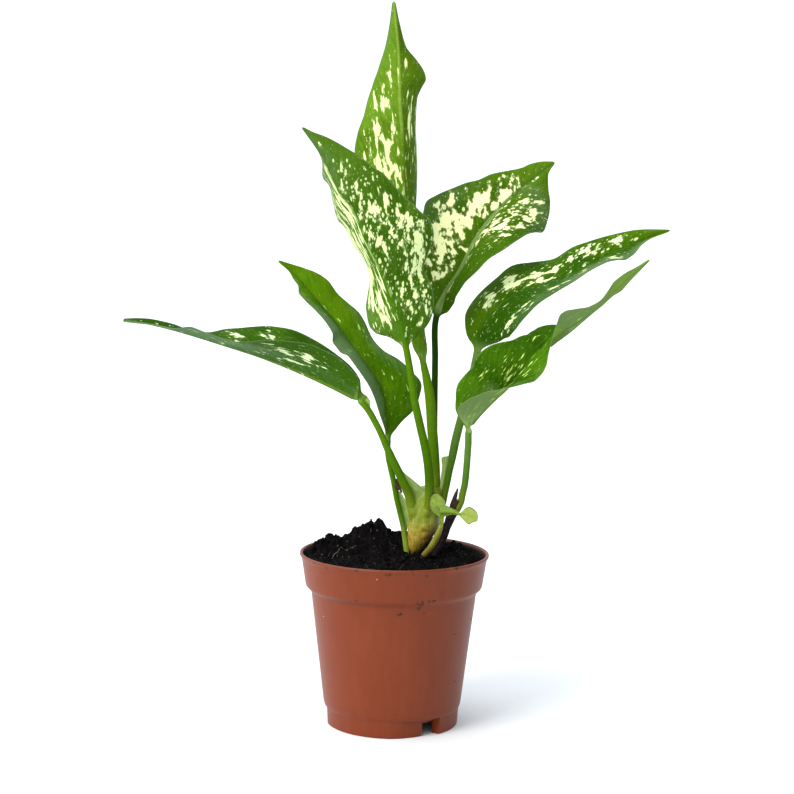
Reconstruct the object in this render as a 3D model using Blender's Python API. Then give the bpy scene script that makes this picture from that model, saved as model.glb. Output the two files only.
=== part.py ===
"""Potted Chinese evergreen, as a Blender 4.5 script.

Seven variegated leaves on their stalks, a young shoot and an old stem stand in
a plastic nursery pot of dark peat. +Z is up and the front is -Y. The origin is
on the floor, on the pot's axis. Sizes below are millimetres, which MM turns
into Blender's metres where a mesh is made.
"""

import math
import random
from dataclasses import dataclass

import bmesh
import bpy
import numpy as np

MM = 0.001

# Driving dimensions of the pot
POT_HEIGHT = 82.0
RIM_RADIUS = 45.0
FOOT_RADIUS = 31.4
POT_WALL = 1.2
COLLAR_TOP_RADIUS = 44.2
COLLAR_LOW_RADIUS = 42.2
COLLAR_LOW = 67.5
WALL_TOP_RADIUS = 39.4
WALL_TOP = 64.0
WALL_LOW_RADIUS = 32.9
WALL_LOW = 11.0
LEDGE = 8.4
FLOOR_UNDERSIDE = 7.6
FLOOR_TOP = 9.4

# Recesses in the foot ring: each deepens round the ring and ends in a notch
RECESS_COUNT = 3
RECESS_SPAN = 44.0
RECESS_DEPTH = 3.0
RECESS_STEP = 1.0
NOTCH_SPAN = 15.0
NOTCH_HEIGHT = 6.4
DRAIN_RADIUS = 3.0
DRAIN_RING_RADIUS = 22.0
POT_STEPS = 54

# Peat
SOIL_LEVEL = 79.4
SOIL_RINGS = 12
SOIL_STEPS = 36
SOIL_LUMPS = 110
SOIL_SEED = 11

# Gap between pieces that touch
GAP = 0.3

# Direction in which the margins' forward distances run: to the front and a little up
FORWARD = np.array([0.0, -0.994, 0.107])

# Blades
BLADE_THICKNESS = 0.7
BLADE_STATIONS = 26
STALK_STATIONS = 10
HALF_COLUMNS = (0.08, 0.36, 0.68, 1.0)
BLEND_SHARE = 0.05
RIB_HEIGHT = 0.9
TIP_SHARE = 0.99


@dataclass(frozen=True)
class Leaf:
    """One leaf, from the foot of its stalk to its tip.

    stalk and rib are points on its centre line. Each row of halves gives, at a
    share of the rib's length, how far the left margin lies across and forward
    (towards the front) of the rib, and then the same for the right margin, as
    seen from the front. upper is 1 where the front view shows the upper face
    and -1 where it shows the underside. bulge crowns each half, left and right,
    by a share of its width, and curl rows add to it at a share of the rib's
    length, where a half curls over. ripple is the height, number and phase of the
    waves along the margins. stalk_radius and sheath rows give the stalk's radius
    and the width of the thin wings at its left and right, at a share of its length.
    ridge is how far the rib stands out of the underside, and stations are the
    numbers of sections along the stalk and along the blade.
    """

    stalk: tuple
    rib: tuple
    halves: tuple
    stalk_radius: tuple
    upper: int = 1
    bulge: tuple = (0.0, 0.0)
    curl: tuple = ((0.0, 0.0, 0.0), (1.0, 0.0, 0.0))
    ripple: tuple = (0.0, 3.0, 0.0)
    sheath: tuple = ((0.0, 0.0, 0.0), (1.0, 0.0, 0.0))
    ridge: float = RIB_HEIGHT
    stations: tuple = (STALK_STATIONS, BLADE_STATIONS)


LEAVES = {
    "leaf_top": Leaf(
        stalk=((15.8, 5.4, 99), (18.6, 5.2, 106), (18.9, 5, 112), (18.6, 5, 121),
               (17.9, 4.6, 130.5), (17, 4.2, 140), (15.7, 3.4, 154.5), (14, 2.6, 164),
               (12.2, 2, 172)),
        rib=((12.2, 2, 172), (11, 1.4, 181), (9.4, 1, 196), (6, 0, 220), (2, 0, 249),
             (0.8, 2, 273), (-1, 4, 295), (-2, 6, 317), (-4.6, 6, 340)),
        halves=((0.00, 1.6, 0.0, 1.6, 0.0),
                (0.03, 3.4, -1.0, 2.8, -1.5),
                (0.08, 4.8, -1.0, 2.4, -3.0),
                (0.20, 10.2, -3.0, 2.0, -8.0),
                (0.35, 18.0, -5.0, 3.6, -12.0),
                (0.50, 23.0, -7.0, 6.0, -17.0),
                (0.60, 22.6, -7.0, 6.6, -17.0),
                (0.65, 20.8, -6.5, 7.0, -15.5),
                (0.70, 17.2, -6.0, 7.6, -13.0),
                (0.74, 15.0, -5.0, 8.2, -9.5),
                (0.77, 13.0, -4.5, 10.4, -7.0),
                (0.79, 11.8, -4.0, 12.4, -4.5),
                (0.81, 10.4, -3.5, 11.6, -4.0),
                (0.84, 8.6, -3.0, 8.4, -4.0),
                (0.88, 6.0, -2.0, 3.6, -4.0),
                (0.94, 3.0, -1.0, 1.8, -2.0),
                (1.00, 0.6, 0.0, 0.6, 0.0)),
        stalk_radius=((0.0, 2.5), (0.72, 2.4), (0.86, 2.1), (1.0, 1.5)),
        upper=-1,
        bulge=(0.05, 0.10),
        ripple=(0.3, 3.5, 0.4)),
    "leaf_front": Leaf(
        stalk=((14.4, -0.4, 99), (15.8, -2.8, 105), (16.1, -4, 110), (16, -4.6, 115),
               (15.1, -6.6, 125), (13.3, -8.6, 134.6), (10.9, -10.4, 144.2),
               (8.2, -12.6, 156), (6.6, -14, 165.6), (4.9, -15.4, 175), (3.9, -16, 180)),
        rib=((3.9, -16, 180), (1, -19, 192), (-3, -22, 203), (-9, -26, 218),
             (-15, -30, 230), (-20, -33, 242), (-27, -36, 252), (-35, -38, 267),
             (-44, -40, 279.4)),
        halves=((0.00, 1.5, 0.0, 1.5, 0.0),
                (0.03, 3.4, -1.0, 4.4, -1.0),
                (0.06, 5.8, -1.5, 9.2, -2.0),
                (0.10, 12.2, -3.0, 14.2, -4.0),
                (0.15, 14.0, -5.0, 17.6, -5.0),
                (0.22, 12.6, -10.0, 19.2, -6.0),
                (0.29, 8.8, -16.0, 18.6, -9.0),
                (0.34, 6.4, -18.0, 22.8, -8.0),
                (0.40, 4.8, -20.0, 29.2, -6.0),
                (0.45, 4.4, -21.0, 30.0, -5.0),
                (0.50, 5.6, -21.0, 28.6, -4.0),
                (0.55, 6.2, -19.0, 26.2, -4.0),
                (0.60, 7.4, -17.0, 22.4, -5.0),
                (0.63, 8.2, -16.0, 21.2, -5.0),
                (0.66, 7.4, -15.5, 20.6, -5.0),
                (0.70, 5.2, -15.0, 19.6, -5.0),
                (0.76, 2.6, -13.0, 17.2, -4.5),
                (0.80, 3.8, -12.0, 15.2, -4.0),
                (0.86, 0.0, -9.0, 10.4, -3.4),
                (0.92, -1.4, -5.0, 6.0, -2.4),
                (0.96, -0.8, -2.5, 2.8, -1.2),
                (1.00, 0.3, 0.0, 0.3, 0.0)),
        stalk_radius=((0.0, 2.3), (0.40, 2.0), (0.70, 1.8), (1.0, 1.5)),
        upper=-1,
        bulge=(0.08, 0.08),
        ripple=(0.3, 4.0, 1.2)),
    "leaf_back_right": Leaf(
        stalk=((13.6, 9.9, 99), (17.4, 10.2, 105), (18.8, 11, 120), (18.2, 11.6, 137),
               (18, 12, 154), (17.9, 13, 173), (18, 14, 192.6)),
        rib=((18, 14, 192.6), (23, 17, 204), (30, 20, 215), (35, 24, 226),
             (41, 28, 236), (50, 33, 247), (61, 38, 257), (75, 42.6, 268)),
        halves=((0.00, 1.4, 0.0, 1.4, 0.0),
                (0.055, 7.0, 0.0, 4.6, 3.0),
                (0.10, 11.8, 0.0, 5.0, 8.0),
                (0.135, 15.4, -0.5, 4.2, 11.0),
                (0.20, 20.8, -1.0, 4.2, 15.0),
                (0.30, 25.2, -2.0, 7.4, 18.0),
                (0.37, 27.2, -2.0, 10.0, 19.0),
                (0.42, 29.0, -2.0, 12.2, 18.5),
                (0.46, 30.4, -2.0, 13.8, 18.0),
                (0.50, 28.2, -2.0, 15.0, 17.0),
                (0.565, 23.8, -2.0, 17.0, 14.0),
                (0.62, 20.4, -2.0, 18.6, 11.0),
                (0.665, 17.0, -2.0, 20.6, 8.0),
                (0.715, 15.0, -2.0, 23.0, 4.0),
                (0.79, 10.8, -1.5, 19.8, 2.0),
                (0.86, 7.4, -1.0, 14.0, 1.0),
                (0.89, 6.8, -1.0, 9.0, 1.0),
                (0.945, 4.4, -0.5, 2.4, 1.0),
                (1.00, 0.5, 0.0, 0.5, 0.0)),
        stalk_radius=((0.0, 1.5), (1.0, 1.5)),
        upper=1,
        bulge=(0.04, 0.12),
        ripple=(0.3, 3.0, 0.0)),
    "leaf_right_upper": Leaf(
        stalk=((20.2, 1.8, 99), (22.4, 1.6, 105), (23.6, 2.6, 111), (24.6, 3.8, 116),
               (25.5, 4.8, 121), (26.5, 5.6, 125.6), (28.2, 6, 135), (30, 6, 143),
               (34.6, 7, 161.6), (37.6, 8, 177)),
        rib=((37.6, 8, 177), (39, 9, 188), (43, 10, 195), (48, 11, 200), (58, 13, 206),
             (69, 15, 210), (81, 18, 214), (91, 20, 219), (103, 23, 225),
             (116, 26, 230.4), (130.6, 30, 236)),
        halves=((0.00, 1.6, 0.0, 1.8, 0.0),
                (0.03, 2.8, -2.0, 6.0, 2.0),
                (0.06, 5.0, -5.0, 11.0, 5.0),
                (0.09, 7.0, -7.0, 12.8, 6.5),
                (0.13, 9.6, -10.0, 13.8, 8.0),
                (0.19, 10.4, -13.5, 14.0, 11.0),
                (0.27, 11.6, -15.0, 12.4, 13.5),
                (0.34, 13.4, -15.5, 9.8, 15.0),
                (0.40, 12.2, -16.0, 7.4, 16.0),
                (0.50, 10.6, -14.0, 4.8, 15.0),
                (0.60, 11.6, -11.0, 3.2, 12.0),
                (0.68, 10.2, -8.5, 2.8, 9.5),
                (0.73, 9.2, -7.0, 3.8, 8.0),
                (0.77, 8.4, -5.5, 5.4, 6.5),
                (0.81, 7.6, -3.5, 4.6, 5.0),
                (0.86, 6.4, -2.0, 1.8, 3.5),
                (0.91, 4.4, -0.5, 0.6, 2.5),
                (1.00, 0.4, 0.0, 0.4, 0.0)),
        stalk_radius=((0.0, 1.6), (0.25, 1.7), (0.45, 2.0), (1.0, 1.7)),
        upper=1,
        bulge=(0.06, 0.06),
        ripple=(0.3, 3.0, 0.8),
        sheath=((0.0, 0.0, 0.0), (0.10, 0.0, 0.0), (0.17, 1.2, 0.0), (0.24, 1.7, 0.0),
                (0.30, 2.1, 0.0), (0.33, 2.8, 0.0), (0.352, 3.0, 0.0), (0.365, 0.0, 0.0),
                (1.0, 0.0, 0.0))),
    "leaf_right_lower": Leaf(
        stalk=((28.4, -0.8, 101), (30.9, -2, 106.4), (31.8, -2.2, 111), (32.7, -2.6, 115.4),
               (33.4, -3.8, 125), (33.6, -4.6, 130), (33.8, -6.4, 135.6), (33.8, -8, 141)),
        rib=((33.8, -8, 141), (35.2, -9.2, 145), (38.8, -11, 149.4), (44.2, -13, 155.6),
             (50.6, -15, 162.4), (57, -17, 171), (64, -19, 180), (72, -20, 188),
             (82, -20, 194), (92, -19, 202), (102, -18, 212), (114.6, -17, 223)),
        halves=((0.00, 1.6, 0.0, 1.6, 0.0),
                (0.03, 7.4, -1.0, -8.2, 3.0),
                (0.06, 12.2, -3.0, -9.9, 5.0),
                (0.10, 16.0, -4.0, -9.4, 7.0),
                (0.13, 17.6, -5.0, -7.9, 8.5),
                (0.17, 18.1, -5.0, -5.8, 11.0),
                (0.21, 18.4, -5.0, -2.5, 13.0),
                (0.25, 19.8, -4.0, 0.6, 14.0),
                (0.29, 20.0, -4.0, 4.0, 15.0),
                (0.33, 18.8, -4.0, 7.1, 14.0),
                (0.37, 16.0, -5.0, 7.5, 13.0),
                (0.41, 11.9, -6.0, 6.7, 11.5),
                (0.44, 9.8, -7.5, 4.8, 10.5),
                (0.47, 4.0, -11.0, 2.8, 10.0),
                (0.495, -3.6, -12.5, 1.0, 10.0),
                (0.52, -3.8, -12.5, -0.9, 10.0),
                (0.545, -3.8, -12.0, -3.6, 9.5),
                (0.58, -3.2, -10.0, -7.2, 8.0),
                (0.60, -2.6, -8.5, -7.4, 7.0),
                (0.65, -1.4, -6.0, -5.4, 5.0),
                (0.70, -1.0, -5.0, -2.4, 4.0),
                (0.75, -1.3, -4.0, -1.3, 3.5),
                (0.80, -1.6, -3.0, -2.2, 3.0),
                (0.84, -2.6, -2.5, -3.1, 2.0),
                (0.89, -1.8, -2.0, -2.6, 2.0),
                (0.94, -1.1, -1.0, -1.3, 1.0),
                (1.00, -0.4, 0.0, -0.4, 0.0)),
        stalk_radius=((0.0, 1.6), (1.0, 1.6)),
        upper=1,
        bulge=(0.06, 0.06),
        curl=((0.0, 0.0, 0.0), (0.43, 0.0, 0.0), (0.47, 0.56, 0.0), (0.495, 0.74, 0.0),
              (0.53, 0.62, 0.0), (0.56, 0.4, 0.0), (0.60, 0.0, 0.0), (1.0, 0.0, 0.0)),
        ripple=(0.2, 4.0, 0.0)),
    "leaf_left_back": Leaf(
        stalk=((8.6, 4, 66), (7.2, 4.2, 75), (6, 4.5, 81), (4.8, 5.5, 88.7), (4.1, 6, 93),
               (3.1, 6.4, 97), (1.8, 7, 102), (0.6, 7.4, 106.7), (-0.9, 8, 114.3),
               (-2.3, 8.4, 120), (-3.5, 8.6, 125), (-4.1, 8.5, 129.6), (-3.9, 8, 134)),
        rib=((-3.9, 8, 134), (-5.2, 8, 144), (-6.2, 9, 154), (-10, 11, 163), (-16, 13, 171),
             (-22, 16, 179), (-29, 20, 188), (-36, 24, 196), (-45, 29, 206),
             (-51, 33, 212), (-59, 36, 218)),
        halves=((0.00, 1.3, 0.0, 1.3, 0.0),
                (0.03, 0.8, 1.0, 2.8, -1.0),
                (0.06, 1.0, 3.0, 5.6, -2.0),
                (0.09, 1.6, 5.0, 9.0, -3.0),
                (0.125, 2.6, 7.5, 12.8, -3.5),
                (0.17, 3.8, 10.0, 16.6, -4.0),
                (0.205, 4.2, 12.0, 19.2, -4.0),
                (0.24, 4.4, 13.5, 17.4, -5.0),
                (0.29, 4.4, 15.0, 14.8, -7.0),
                (0.36, 4.0, 15.5, 11.0, -8.5),
                (0.43, 4.4, 14.5, 9.8, -9.0),
                (0.47, 6.6, 13.5, 10.4, -9.0),
                (0.52, 6.8, 13.0, 11.6, -9.0),
                (0.565, 4.0, 12.5, 12.0, -8.5),
                (0.63, 3.4, 11.5, 10.6, -8.0),
                (0.70, 4.0, 10.0, 9.6, -7.0),
                (0.765, 4.8, 8.5, 10.2, -5.5),
                (0.805, 4.8, 7.0, 9.4, -5.0),
                (0.845, 2.4, 5.5, 7.8, -4.0),
                (0.88, 2.2, 4.0, 5.8, -3.0),
                (0.93, 0.9, 2.0, 3.2, -1.0),
                (1.00, 0.4, 0.0, 0.4, 0.0)),
        stalk_radius=((0.0, 1.4), (1.0, 1.3)),
        upper=1,
        bulge=(0.06, 0.06),
        ripple=(0.2, 4.0, 2.0),
        sheath=((0.0, 0.0, 0.0), (0.36, 0.0, 0.0), (0.41, 0.0, 1.4), (0.45, 0.0, 2.8),
                (0.50, 0.0, 3.4), (0.55, 0.0, 3.0), (0.61, 0.0, 1.8), (0.66, 0.0, 0.0),
                (1.0, 0.0, 0.0))),
    "leaf_left": Leaf(
        stalk=((10.6, 2.6, 96), (8.8, 1, 101), (7.7, 0.5, 105.5), (6.4, 0, 110),
               (3.7, -1.5, 115.8), (0.8, -2.5, 121.7), (-3.8, -3.6, 131.3),
               (-7.8, -4.6, 140.3), (-10.4, -5, 145.2), (-13.2, -5.6, 150), (-16.4, -6, 153.8)),
        rib=((-16.4, -6, 153.8), (-20, -6, 155.8), (-30, -5, 160.6), (-44, -3, 166.6),
             (-63, 0, 173.5), (-83, 4, 179.2), (-103, 8, 184.5), (-118, 11, 187.6),
             (-131.4, 14, 189.2)),
        halves=((0.00, 1.5, 0.0, 1.5, 0.0),
                (0.015, -2.0, 2.5, 4.0, -2.0),
                (0.04, -8.0, 5.0, 8.2, -3.5),
                (0.07, -10.2, 7.0, 10.8, -5.5),
                (0.11, -12.2, 9.0, 13.0, -7.0),
                (0.17, -14.0, 10.5, 14.8, -8.5),
                (0.245, -14.0, 12.0, 16.4, -9.0),
                (0.34, -11.2, 14.0, 17.4, -9.5),
                (0.43, -7.4, 15.0, 15.6, -10.5),
                (0.50, -4.2, 15.0, 12.4, -11.0),
                (0.545, -3.0, 14.0, 10.0, -11.0),
                (0.60, -2.8, 13.0, 7.4, -11.0),
                (0.665, -3.0, 11.0, 3.4, -9.0),
                (0.71, -3.4, 9.5, 2.4, -7.5),
                (0.755, -1.8, 8.0, 2.4, -6.0),
                (0.80, 0.0, 7.0, 2.8, -5.0),
                (0.885, 0.2, 4.0, 2.6, -3.0),
                (0.95, 0.7, 2.5, 1.8, -2.0),
                (1.00, 0.8, 0.0, 0.8, 0.0)),
        stalk_radius=((0.0, 2.4), (0.20, 2.4), (0.35, 2.1), (0.55, 1.8), (0.75, 1.5),
                      (1.0, 1.5)),
        upper=1,
        bulge=(0.06, 0.06),
        ripple=(0.2, 3.0, 1.0),
        sheath=((0.0, 0.0, 0.0), (0.06, 0.0, 0.6), (0.12, 0.0, 3.4), (0.17, 0.0, 4.9),
                (0.205, 0.0, 5.2), (0.25, 0.0, 4.1), (0.29, 0.0, 3.0), (0.33, 0.0, 1.9),
                (0.38, 0.0, 0.6), (0.41, 0.0, 0.0), (0.93, 0.0, 0.0), (0.97, 0.0, 1.8),
                (1.0, 0.0, 2.4))),
}

# Young shoot: a stalk that ends in a pale bract, and a side stalk with one small leaf
SHOOT_BRACT = Leaf(
    stalk=((12.2, -1.8, 70), (13.6, -3, 79.8), (17.2, -5.6, 85.2), (20.2, -7.2, 90.8),
           (21.6, -8.4, 96)),
    rib=((21.6, -8.4, 96), (21.8, -9, 100), (20.8, -9.2, 104), (19.6, -9.2, 108),
         (18.8, -9.2, 111.6)),
    halves=((0.00, 1.0, 0.0, 1.0, 0.0),
            (0.30, 1.0, 0.2, 1.2, 0.2),
            (0.42, 2.2, 0.4, 2.0, 0.4),
            (0.50, 3.0, 0.6, 2.8, 0.5),
            (0.60, 3.8, 0.8, 3.4, 0.6),
            (0.72, 3.8, 0.8, 3.6, 0.6),
            (0.82, 3.2, 0.6, 3.0, 0.5),
            (0.92, 2.5, 0.4, 2.2, 0.3),
            (1.00, 0.9, 0.0, 0.7, 0.0)),
    stalk_radius=((0.0, 1.3), (1.0, 1.1)),
    ridge=0.0,
    stations=(7, 9))
SHOOT_LEAF = Leaf(
    stalk=((21.2, -9.4, 103.6), (25.7, -10, 103.6), (28.5, -10.6, 103.1), (30.2, -11.2, 102.5)),
    rib=((30.2, -11.2, 102.5), (33, -12, 102), (36, -12.6, 101.4), (38.8, -13, 101)),
    halves=((0.00, 0.6, 0.0, 0.6, 0.0),
            (0.12, 2.0, 0.3, 1.4, 0.3),
            (0.30, 4.0, 0.5, 2.4, 0.4),
            (0.45, 4.6, 0.6, 3.2, 0.5),
            (0.60, 4.3, 0.6, 3.6, 0.5),
            (0.75, 3.8, 0.5, 2.4, 0.4),
            (0.90, 2.6, 0.3, 1.8, 0.2),
            (1.00, 1.1, 0.0, 1.1, 0.0)),
    stalk_radius=((0.0, 2.2), (0.5, 1.3), (1.0, 0.6)),
    ridge=0.0,
    stations=(4, 9))

# Old stem: a tube of (x, y, z, radius), and its dried sheath
OLD_STEM = ((17.6, 6, 68, 2.2), (19, 5.6, 79, 2.0), (21.1, 5, 83.2, 1.9),
            (22.9, 4.4, 87.2, 1.8), (24.2, 3.4, 91.3, 1.8), (25.3, 2.4, 95, 2.0),
            (26.4, 1.4, 98.4, 2.3), (27.6, 0.4, 101.6, 2.6), (28.9, -0.5, 105, 2.6),
            (29.8, -1.2, 107.6, 2.3))
OLD_SHEATH = Leaf(
    stalk=((25.8, -0.6, 99), (26.6, -1.4, 102.4)),
    rib=((26.6, -1.4, 102.4), (27.6, -2.0, 105.6), (28.4, -2.2, 109), (29.5, -2.2, 113.4)),
    halves=((0.00, 1.2, 0.0, 1.2, 0.0),
            (0.30, 1.6, -0.4, 1.0, -0.4),
            (0.60, 1.2, -0.4, 0.8, -0.3),
            (0.85, 0.7, -0.2, 0.5, -0.1),
            (1.00, 0.3, 0.0, 0.3, 0.0)),
    stalk_radius=((0.0, 1.5), (1.0, 1.2)),
    ridge=0.0,
    stations=(2, 6))

# Dry scale caught beside the back left leaf's stalk
DRY_SCALE = Leaf(
    stalk=((2.9, 6.2, 109.4), (2.4, 6.2, 110.8)),
    rib=((2.4, 6.2, 110.8), (1.4, 5.8, 112.6), (0.8, 5.4, 114.4), (0.5, 5, 116.4)),
    halves=((0.00, 0.6, 0.0, 0.6, 0.0),
            (0.25, 2.0, 0.3, 1.2, -0.3),
            (0.45, 1.8, 0.4, 1.0, -0.3),
            (0.75, 0.9, 0.2, 0.6, 0.0),
            (1.00, 0.4, 0.0, 0.4, 0.0)),
    stalk_radius=((0.0, 0.5), (1.0, 0.6)),
    ridge=0.0,
    stations=(2, 6))

# Crown: centre x, centre y, height, half width across, half width front to back
CROWN = ((11.4, 3.6, 66, 2.4, 2.4), (10.8, 3.6, 74, 2.4, 2.4), (10.3, 3.6, 80.6, 2.4, 2.6),
         (10.7, 3.5, 83.9, 3.9, 4.0), (11.6, 3.5, 87, 5.2, 5.2), (12.4, 3.6, 90, 6.1, 6.0),
         (13.3, 3.8, 93, 6.9, 6.6), (14.0, 4.0, 96, 7.2, 6.9), (14.3, 4.2, 99.2, 7.1, 7.0),
         (15.0, 4.5, 103, 7.0, 7.0), (16.0, 4.7, 107, 6.9, 6.8), (16.7, 4.8, 110.4, 6.2, 6.2),
         (17.2, 4.8, 112.8, 4.8, 4.8))
CROWN_STEPS = 22
CROWN_FLUTES = 5
CROWN_FLUTE_DEPTH = 0.05

# Heaps in the peat: x, y, height, radius
SOIL_HEAPS = ((-6.0, 24.0, 5.0, 17.0), (-6.6, 18.0, 7.8, 3.8), (-11.5, 18.5, 6.8, 4.2),
              (-17.0, 20.0, 4.8, 4.2), (-22.0, 22.0, 1.8, 6.0), (-25.6, 20.0, 2.4, 2.6),
              (-32.0, 20.0, 4.6, 7.0), (-38.0, 10.0, 5.0, 7.0), (-17.0, 14.0, 1.4, 6.0),
              (2.0, 26.0, 2.2, 8.0), (12.0, 30.0, 2.0, 9.0), (28.0, 22.0, 2.2, 12.0),
              (-32.0, 8.0, 1.4, 8.0), (0.0, -38.0, 1.2, 14.0), (-24.0, -28.0, 1.4, 12.0),
              (11.0, 3.0, 1.6, 7.0), (26.0, -26.0, 0.8, 12.0))

COLOURS = {
    "pot": (0.34, 0.10, 0.05),
    "soil": (0.012, 0.009, 0.007),
    "crown": (0.30, 0.26, 0.07),
    "old_stem": (0.05, 0.025, 0.02),
    "young_shoot": (0.42, 0.45, 0.10),
    "dry_scale": (0.10, 0.04, 0.02),
    "leaf_top": (0.20, 0.36, 0.05),
    "leaf_front": (0.15, 0.30, 0.06),
    "leaf_back_right": (0.40, 0.50, 0.20),
    "leaf_right_upper": (0.10, 0.26, 0.04),
    "leaf_right_lower": (0.12, 0.30, 0.05),
    "leaf_left_back": (0.14, 0.28, 0.04),
    "leaf_left": (0.10, 0.24, 0.05),
}
ROUGHNESS = {"pot": 0.45, "soil": 0.95, "crown": 0.5, "old_stem": 0.8, "young_shoot": 0.45}
LEAF_ROUGHNESS = 0.3


def clear_scene():
    """Remove every object, so that the part is built into an empty scene."""
    for item in list(bpy.data.objects):
        bpy.data.objects.remove(item, do_unlink=True)


def make_material(name):
    """The piece's own Principled material, in its colour and roughness."""
    material = bpy.data.materials.new(name)
    material.use_nodes = True
    shader = material.node_tree.nodes["Principled BSDF"]
    shader.inputs["Base Color"].default_value = (*COLOURS[name], 1.0)
    shader.inputs["Roughness"].default_value = ROUGHNESS.get(name, LEAF_ROUGHNESS)
    shader.inputs["Metallic"].default_value = 0.0
    return material


def make_object(name, points, faces, material=None):
    """A mesh object of millimetre points, with its normals facing out."""
    mesh = bpy.data.meshes.new(name)
    mesh.from_pydata([tuple(value * MM for value in point) for point in points], [], faces)
    body = bmesh.new()
    body.from_mesh(mesh)
    bmesh.ops.recalc_face_normals(body, faces=body.faces)
    body.to_mesh(mesh)
    body.free()
    item = bpy.data.objects.new(name, mesh)
    bpy.context.scene.collection.objects.link(item)
    if material:
        mesh.materials.append(material)
    return item


def shade(item, angle=40.0):
    """Smooth shading, with edges sharper than the angle left crisp."""
    item.data.shade_smooth()
    item.data.set_sharp_from_angle(angle=math.radians(angle))


def combine(target, tools, operation, solver="EXACT"):
    """Apply one Boolean between the target and a list of objects, then remove them."""
    group = bpy.data.collections.new(operation)
    bpy.context.scene.collection.children.link(group)
    for tool in tools:
        bpy.context.scene.collection.objects.unlink(tool)
        group.objects.link(tool)
    modifier = target.modifiers.new(operation, "BOOLEAN")
    modifier.operation = operation
    modifier.solver = solver
    modifier.operand_type = "COLLECTION"
    modifier.collection = group
    view = bpy.context.evaluated_depsgraph_get()
    result = bpy.data.meshes.new_from_object(target.evaluated_get(view))
    target.modifiers.remove(modifier)
    target.data = result
    for tool in tools:
        bpy.data.objects.remove(tool, do_unlink=True)
    bpy.data.collections.remove(group)


class Path:
    """A smooth curve through given points, read by the distance along it."""

    def __init__(self, points, steps=16):
        """Sample a centripetal Catmull-Rom curve through the points."""
        knots = np.array(points, dtype=float)
        ends = np.vstack([2 * knots[0] - knots[1], knots, 2 * knots[-1] - knots[-2]])
        samples = []
        for index in range(len(knots) - 1):
            samples.extend(self.span(ends[index:index + 4], steps))
        samples.append(knots[-1])
        self.samples = np.array(samples)
        lengths = np.linalg.norm(np.diff(self.samples[:, :3], axis=0), axis=1)
        self.distance = np.concatenate([[0.0], np.cumsum(lengths)])
        self.knots = self.distance[::steps]
        self.length = self.distance[-1]

    @staticmethod
    def span(corners, steps):
        """The curve between the second and third of four corner points."""
        times = [0.0]
        for first, second in zip(corners[:-1], corners[1:]):
            times.append(times[-1] + math.sqrt(np.linalg.norm(second - first)))
        found = []
        for time in np.linspace(times[1], times[2], steps, endpoint=False):
            layer = list(corners)
            for row in (((0, 1), (1, 2), (2, 3)), ((0, 2), (1, 3)), ((1, 2),)):
                layer = [
                    ((times[high] - time) * layer[i] + (time - times[low]) * layer[i + 1])
                    / (times[high] - times[low])
                    for i, (low, high) in enumerate(row)
                ]
            found.append(layer[0])
        return found

    def at(self, distance):
        """The point at a distance along the curve."""
        return np.array([np.interp(distance, self.distance, column) for column in self.samples.T])

    def direction(self, distance, reach=1.5):
        """The unit direction of the curve at a distance along it."""
        ahead = self.at(min(distance + reach, self.length))[:3]
        behind = self.at(max(distance - reach, 0.0))[:3]
        return (ahead - behind) / np.linalg.norm(ahead - behind)


def read_rows(rows, share):
    """Values between the rows of a table, smooth and without overshoot."""
    table = np.array(rows, dtype=float)
    keys = table[:, 0]
    values = table[:, 1:]
    if share <= keys[0]:
        return values[0]
    if share >= keys[-1]:
        return values[-1]
    index = int(np.searchsorted(keys, share)) - 1
    steps = np.diff(keys)
    secants = np.diff(values, axis=0) / steps[:, None]

    def slope(at):
        if at == 0:
            return secants[0]
        if at == len(keys) - 1:
            return secants[-1]
        before, after = secants[at - 1], secants[at]
        same = before * after > 0
        mean = 2 * before * after / np.where(same, before + after, 1.0)
        return np.where(same, mean, 0.0)

    step = steps[index]
    part = (share - keys[index]) / step
    start, end = values[index], values[index + 1]
    return (
        (1 + 2 * part) * (1 - part) ** 2 * start
        + part * (1 - part) ** 2 * step * slope(index)
        + part ** 2 * (3 - 2 * part) * end
        + part ** 2 * (part - 1) * step * slope(index + 1)
    )


def ease(value):
    """Smooth step from 0 to 1."""
    clamped = min(max(value, 0.0), 1.0)
    return clamped * clamped * (3 - 2 * clamped)


def section_axes(direction):
    """The axes across and forward of a curve that runs in a direction."""
    front = np.array([0.0, -1.0, 0.0])
    forward = front - direction * np.dot(front, direction)
    forward /= np.linalg.norm(forward)
    return np.cross(direction, forward), forward


def half_points(margin, side, bulge, wave):
    """Points from the rib out to one margin, as across and forward distances.

    margin is the across and forward distance, side is -1 left or 1 right, and
    wave lifts the outer part of the half off its plane.
    """
    reach = np.array([side * margin[0], margin[1]])
    width = max(np.linalg.norm(reach), 0.2)
    lift = np.array([-side * reach[1], side * reach[0]]) / width
    found = []
    for share in HALF_COLUMNS:
        height = bulge * width * 4 * share * (1 - share) + wave * share * share
        found.append(reach * share + lift * height)
    return found


def blade_section(leaf, share):
    """The blade's middle surface at a share of the rib: left margin to right."""
    left_across, left_forward, right_across, right_forward = read_rows(leaf.halves, share)
    height, count, phase = leaf.ripple
    swell = math.sin(math.pi * min(max(share, 0.0), 1.0)) ** 0.5
    left_wave = height * swell * math.sin(2 * math.pi * count * share + phase)
    right_wave = height * swell * math.sin(2 * math.pi * count * share + phase + 2.0)
    left_curl, right_curl = read_rows(leaf.curl, share)
    left = half_points((left_across, left_forward), -1, leaf.bulge[0] + left_curl, left_wave)
    right = half_points((right_across, right_forward), 1, leaf.bulge[1] + right_curl, right_wave)
    return left[::-1] + [np.zeros(2)] + right


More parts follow.
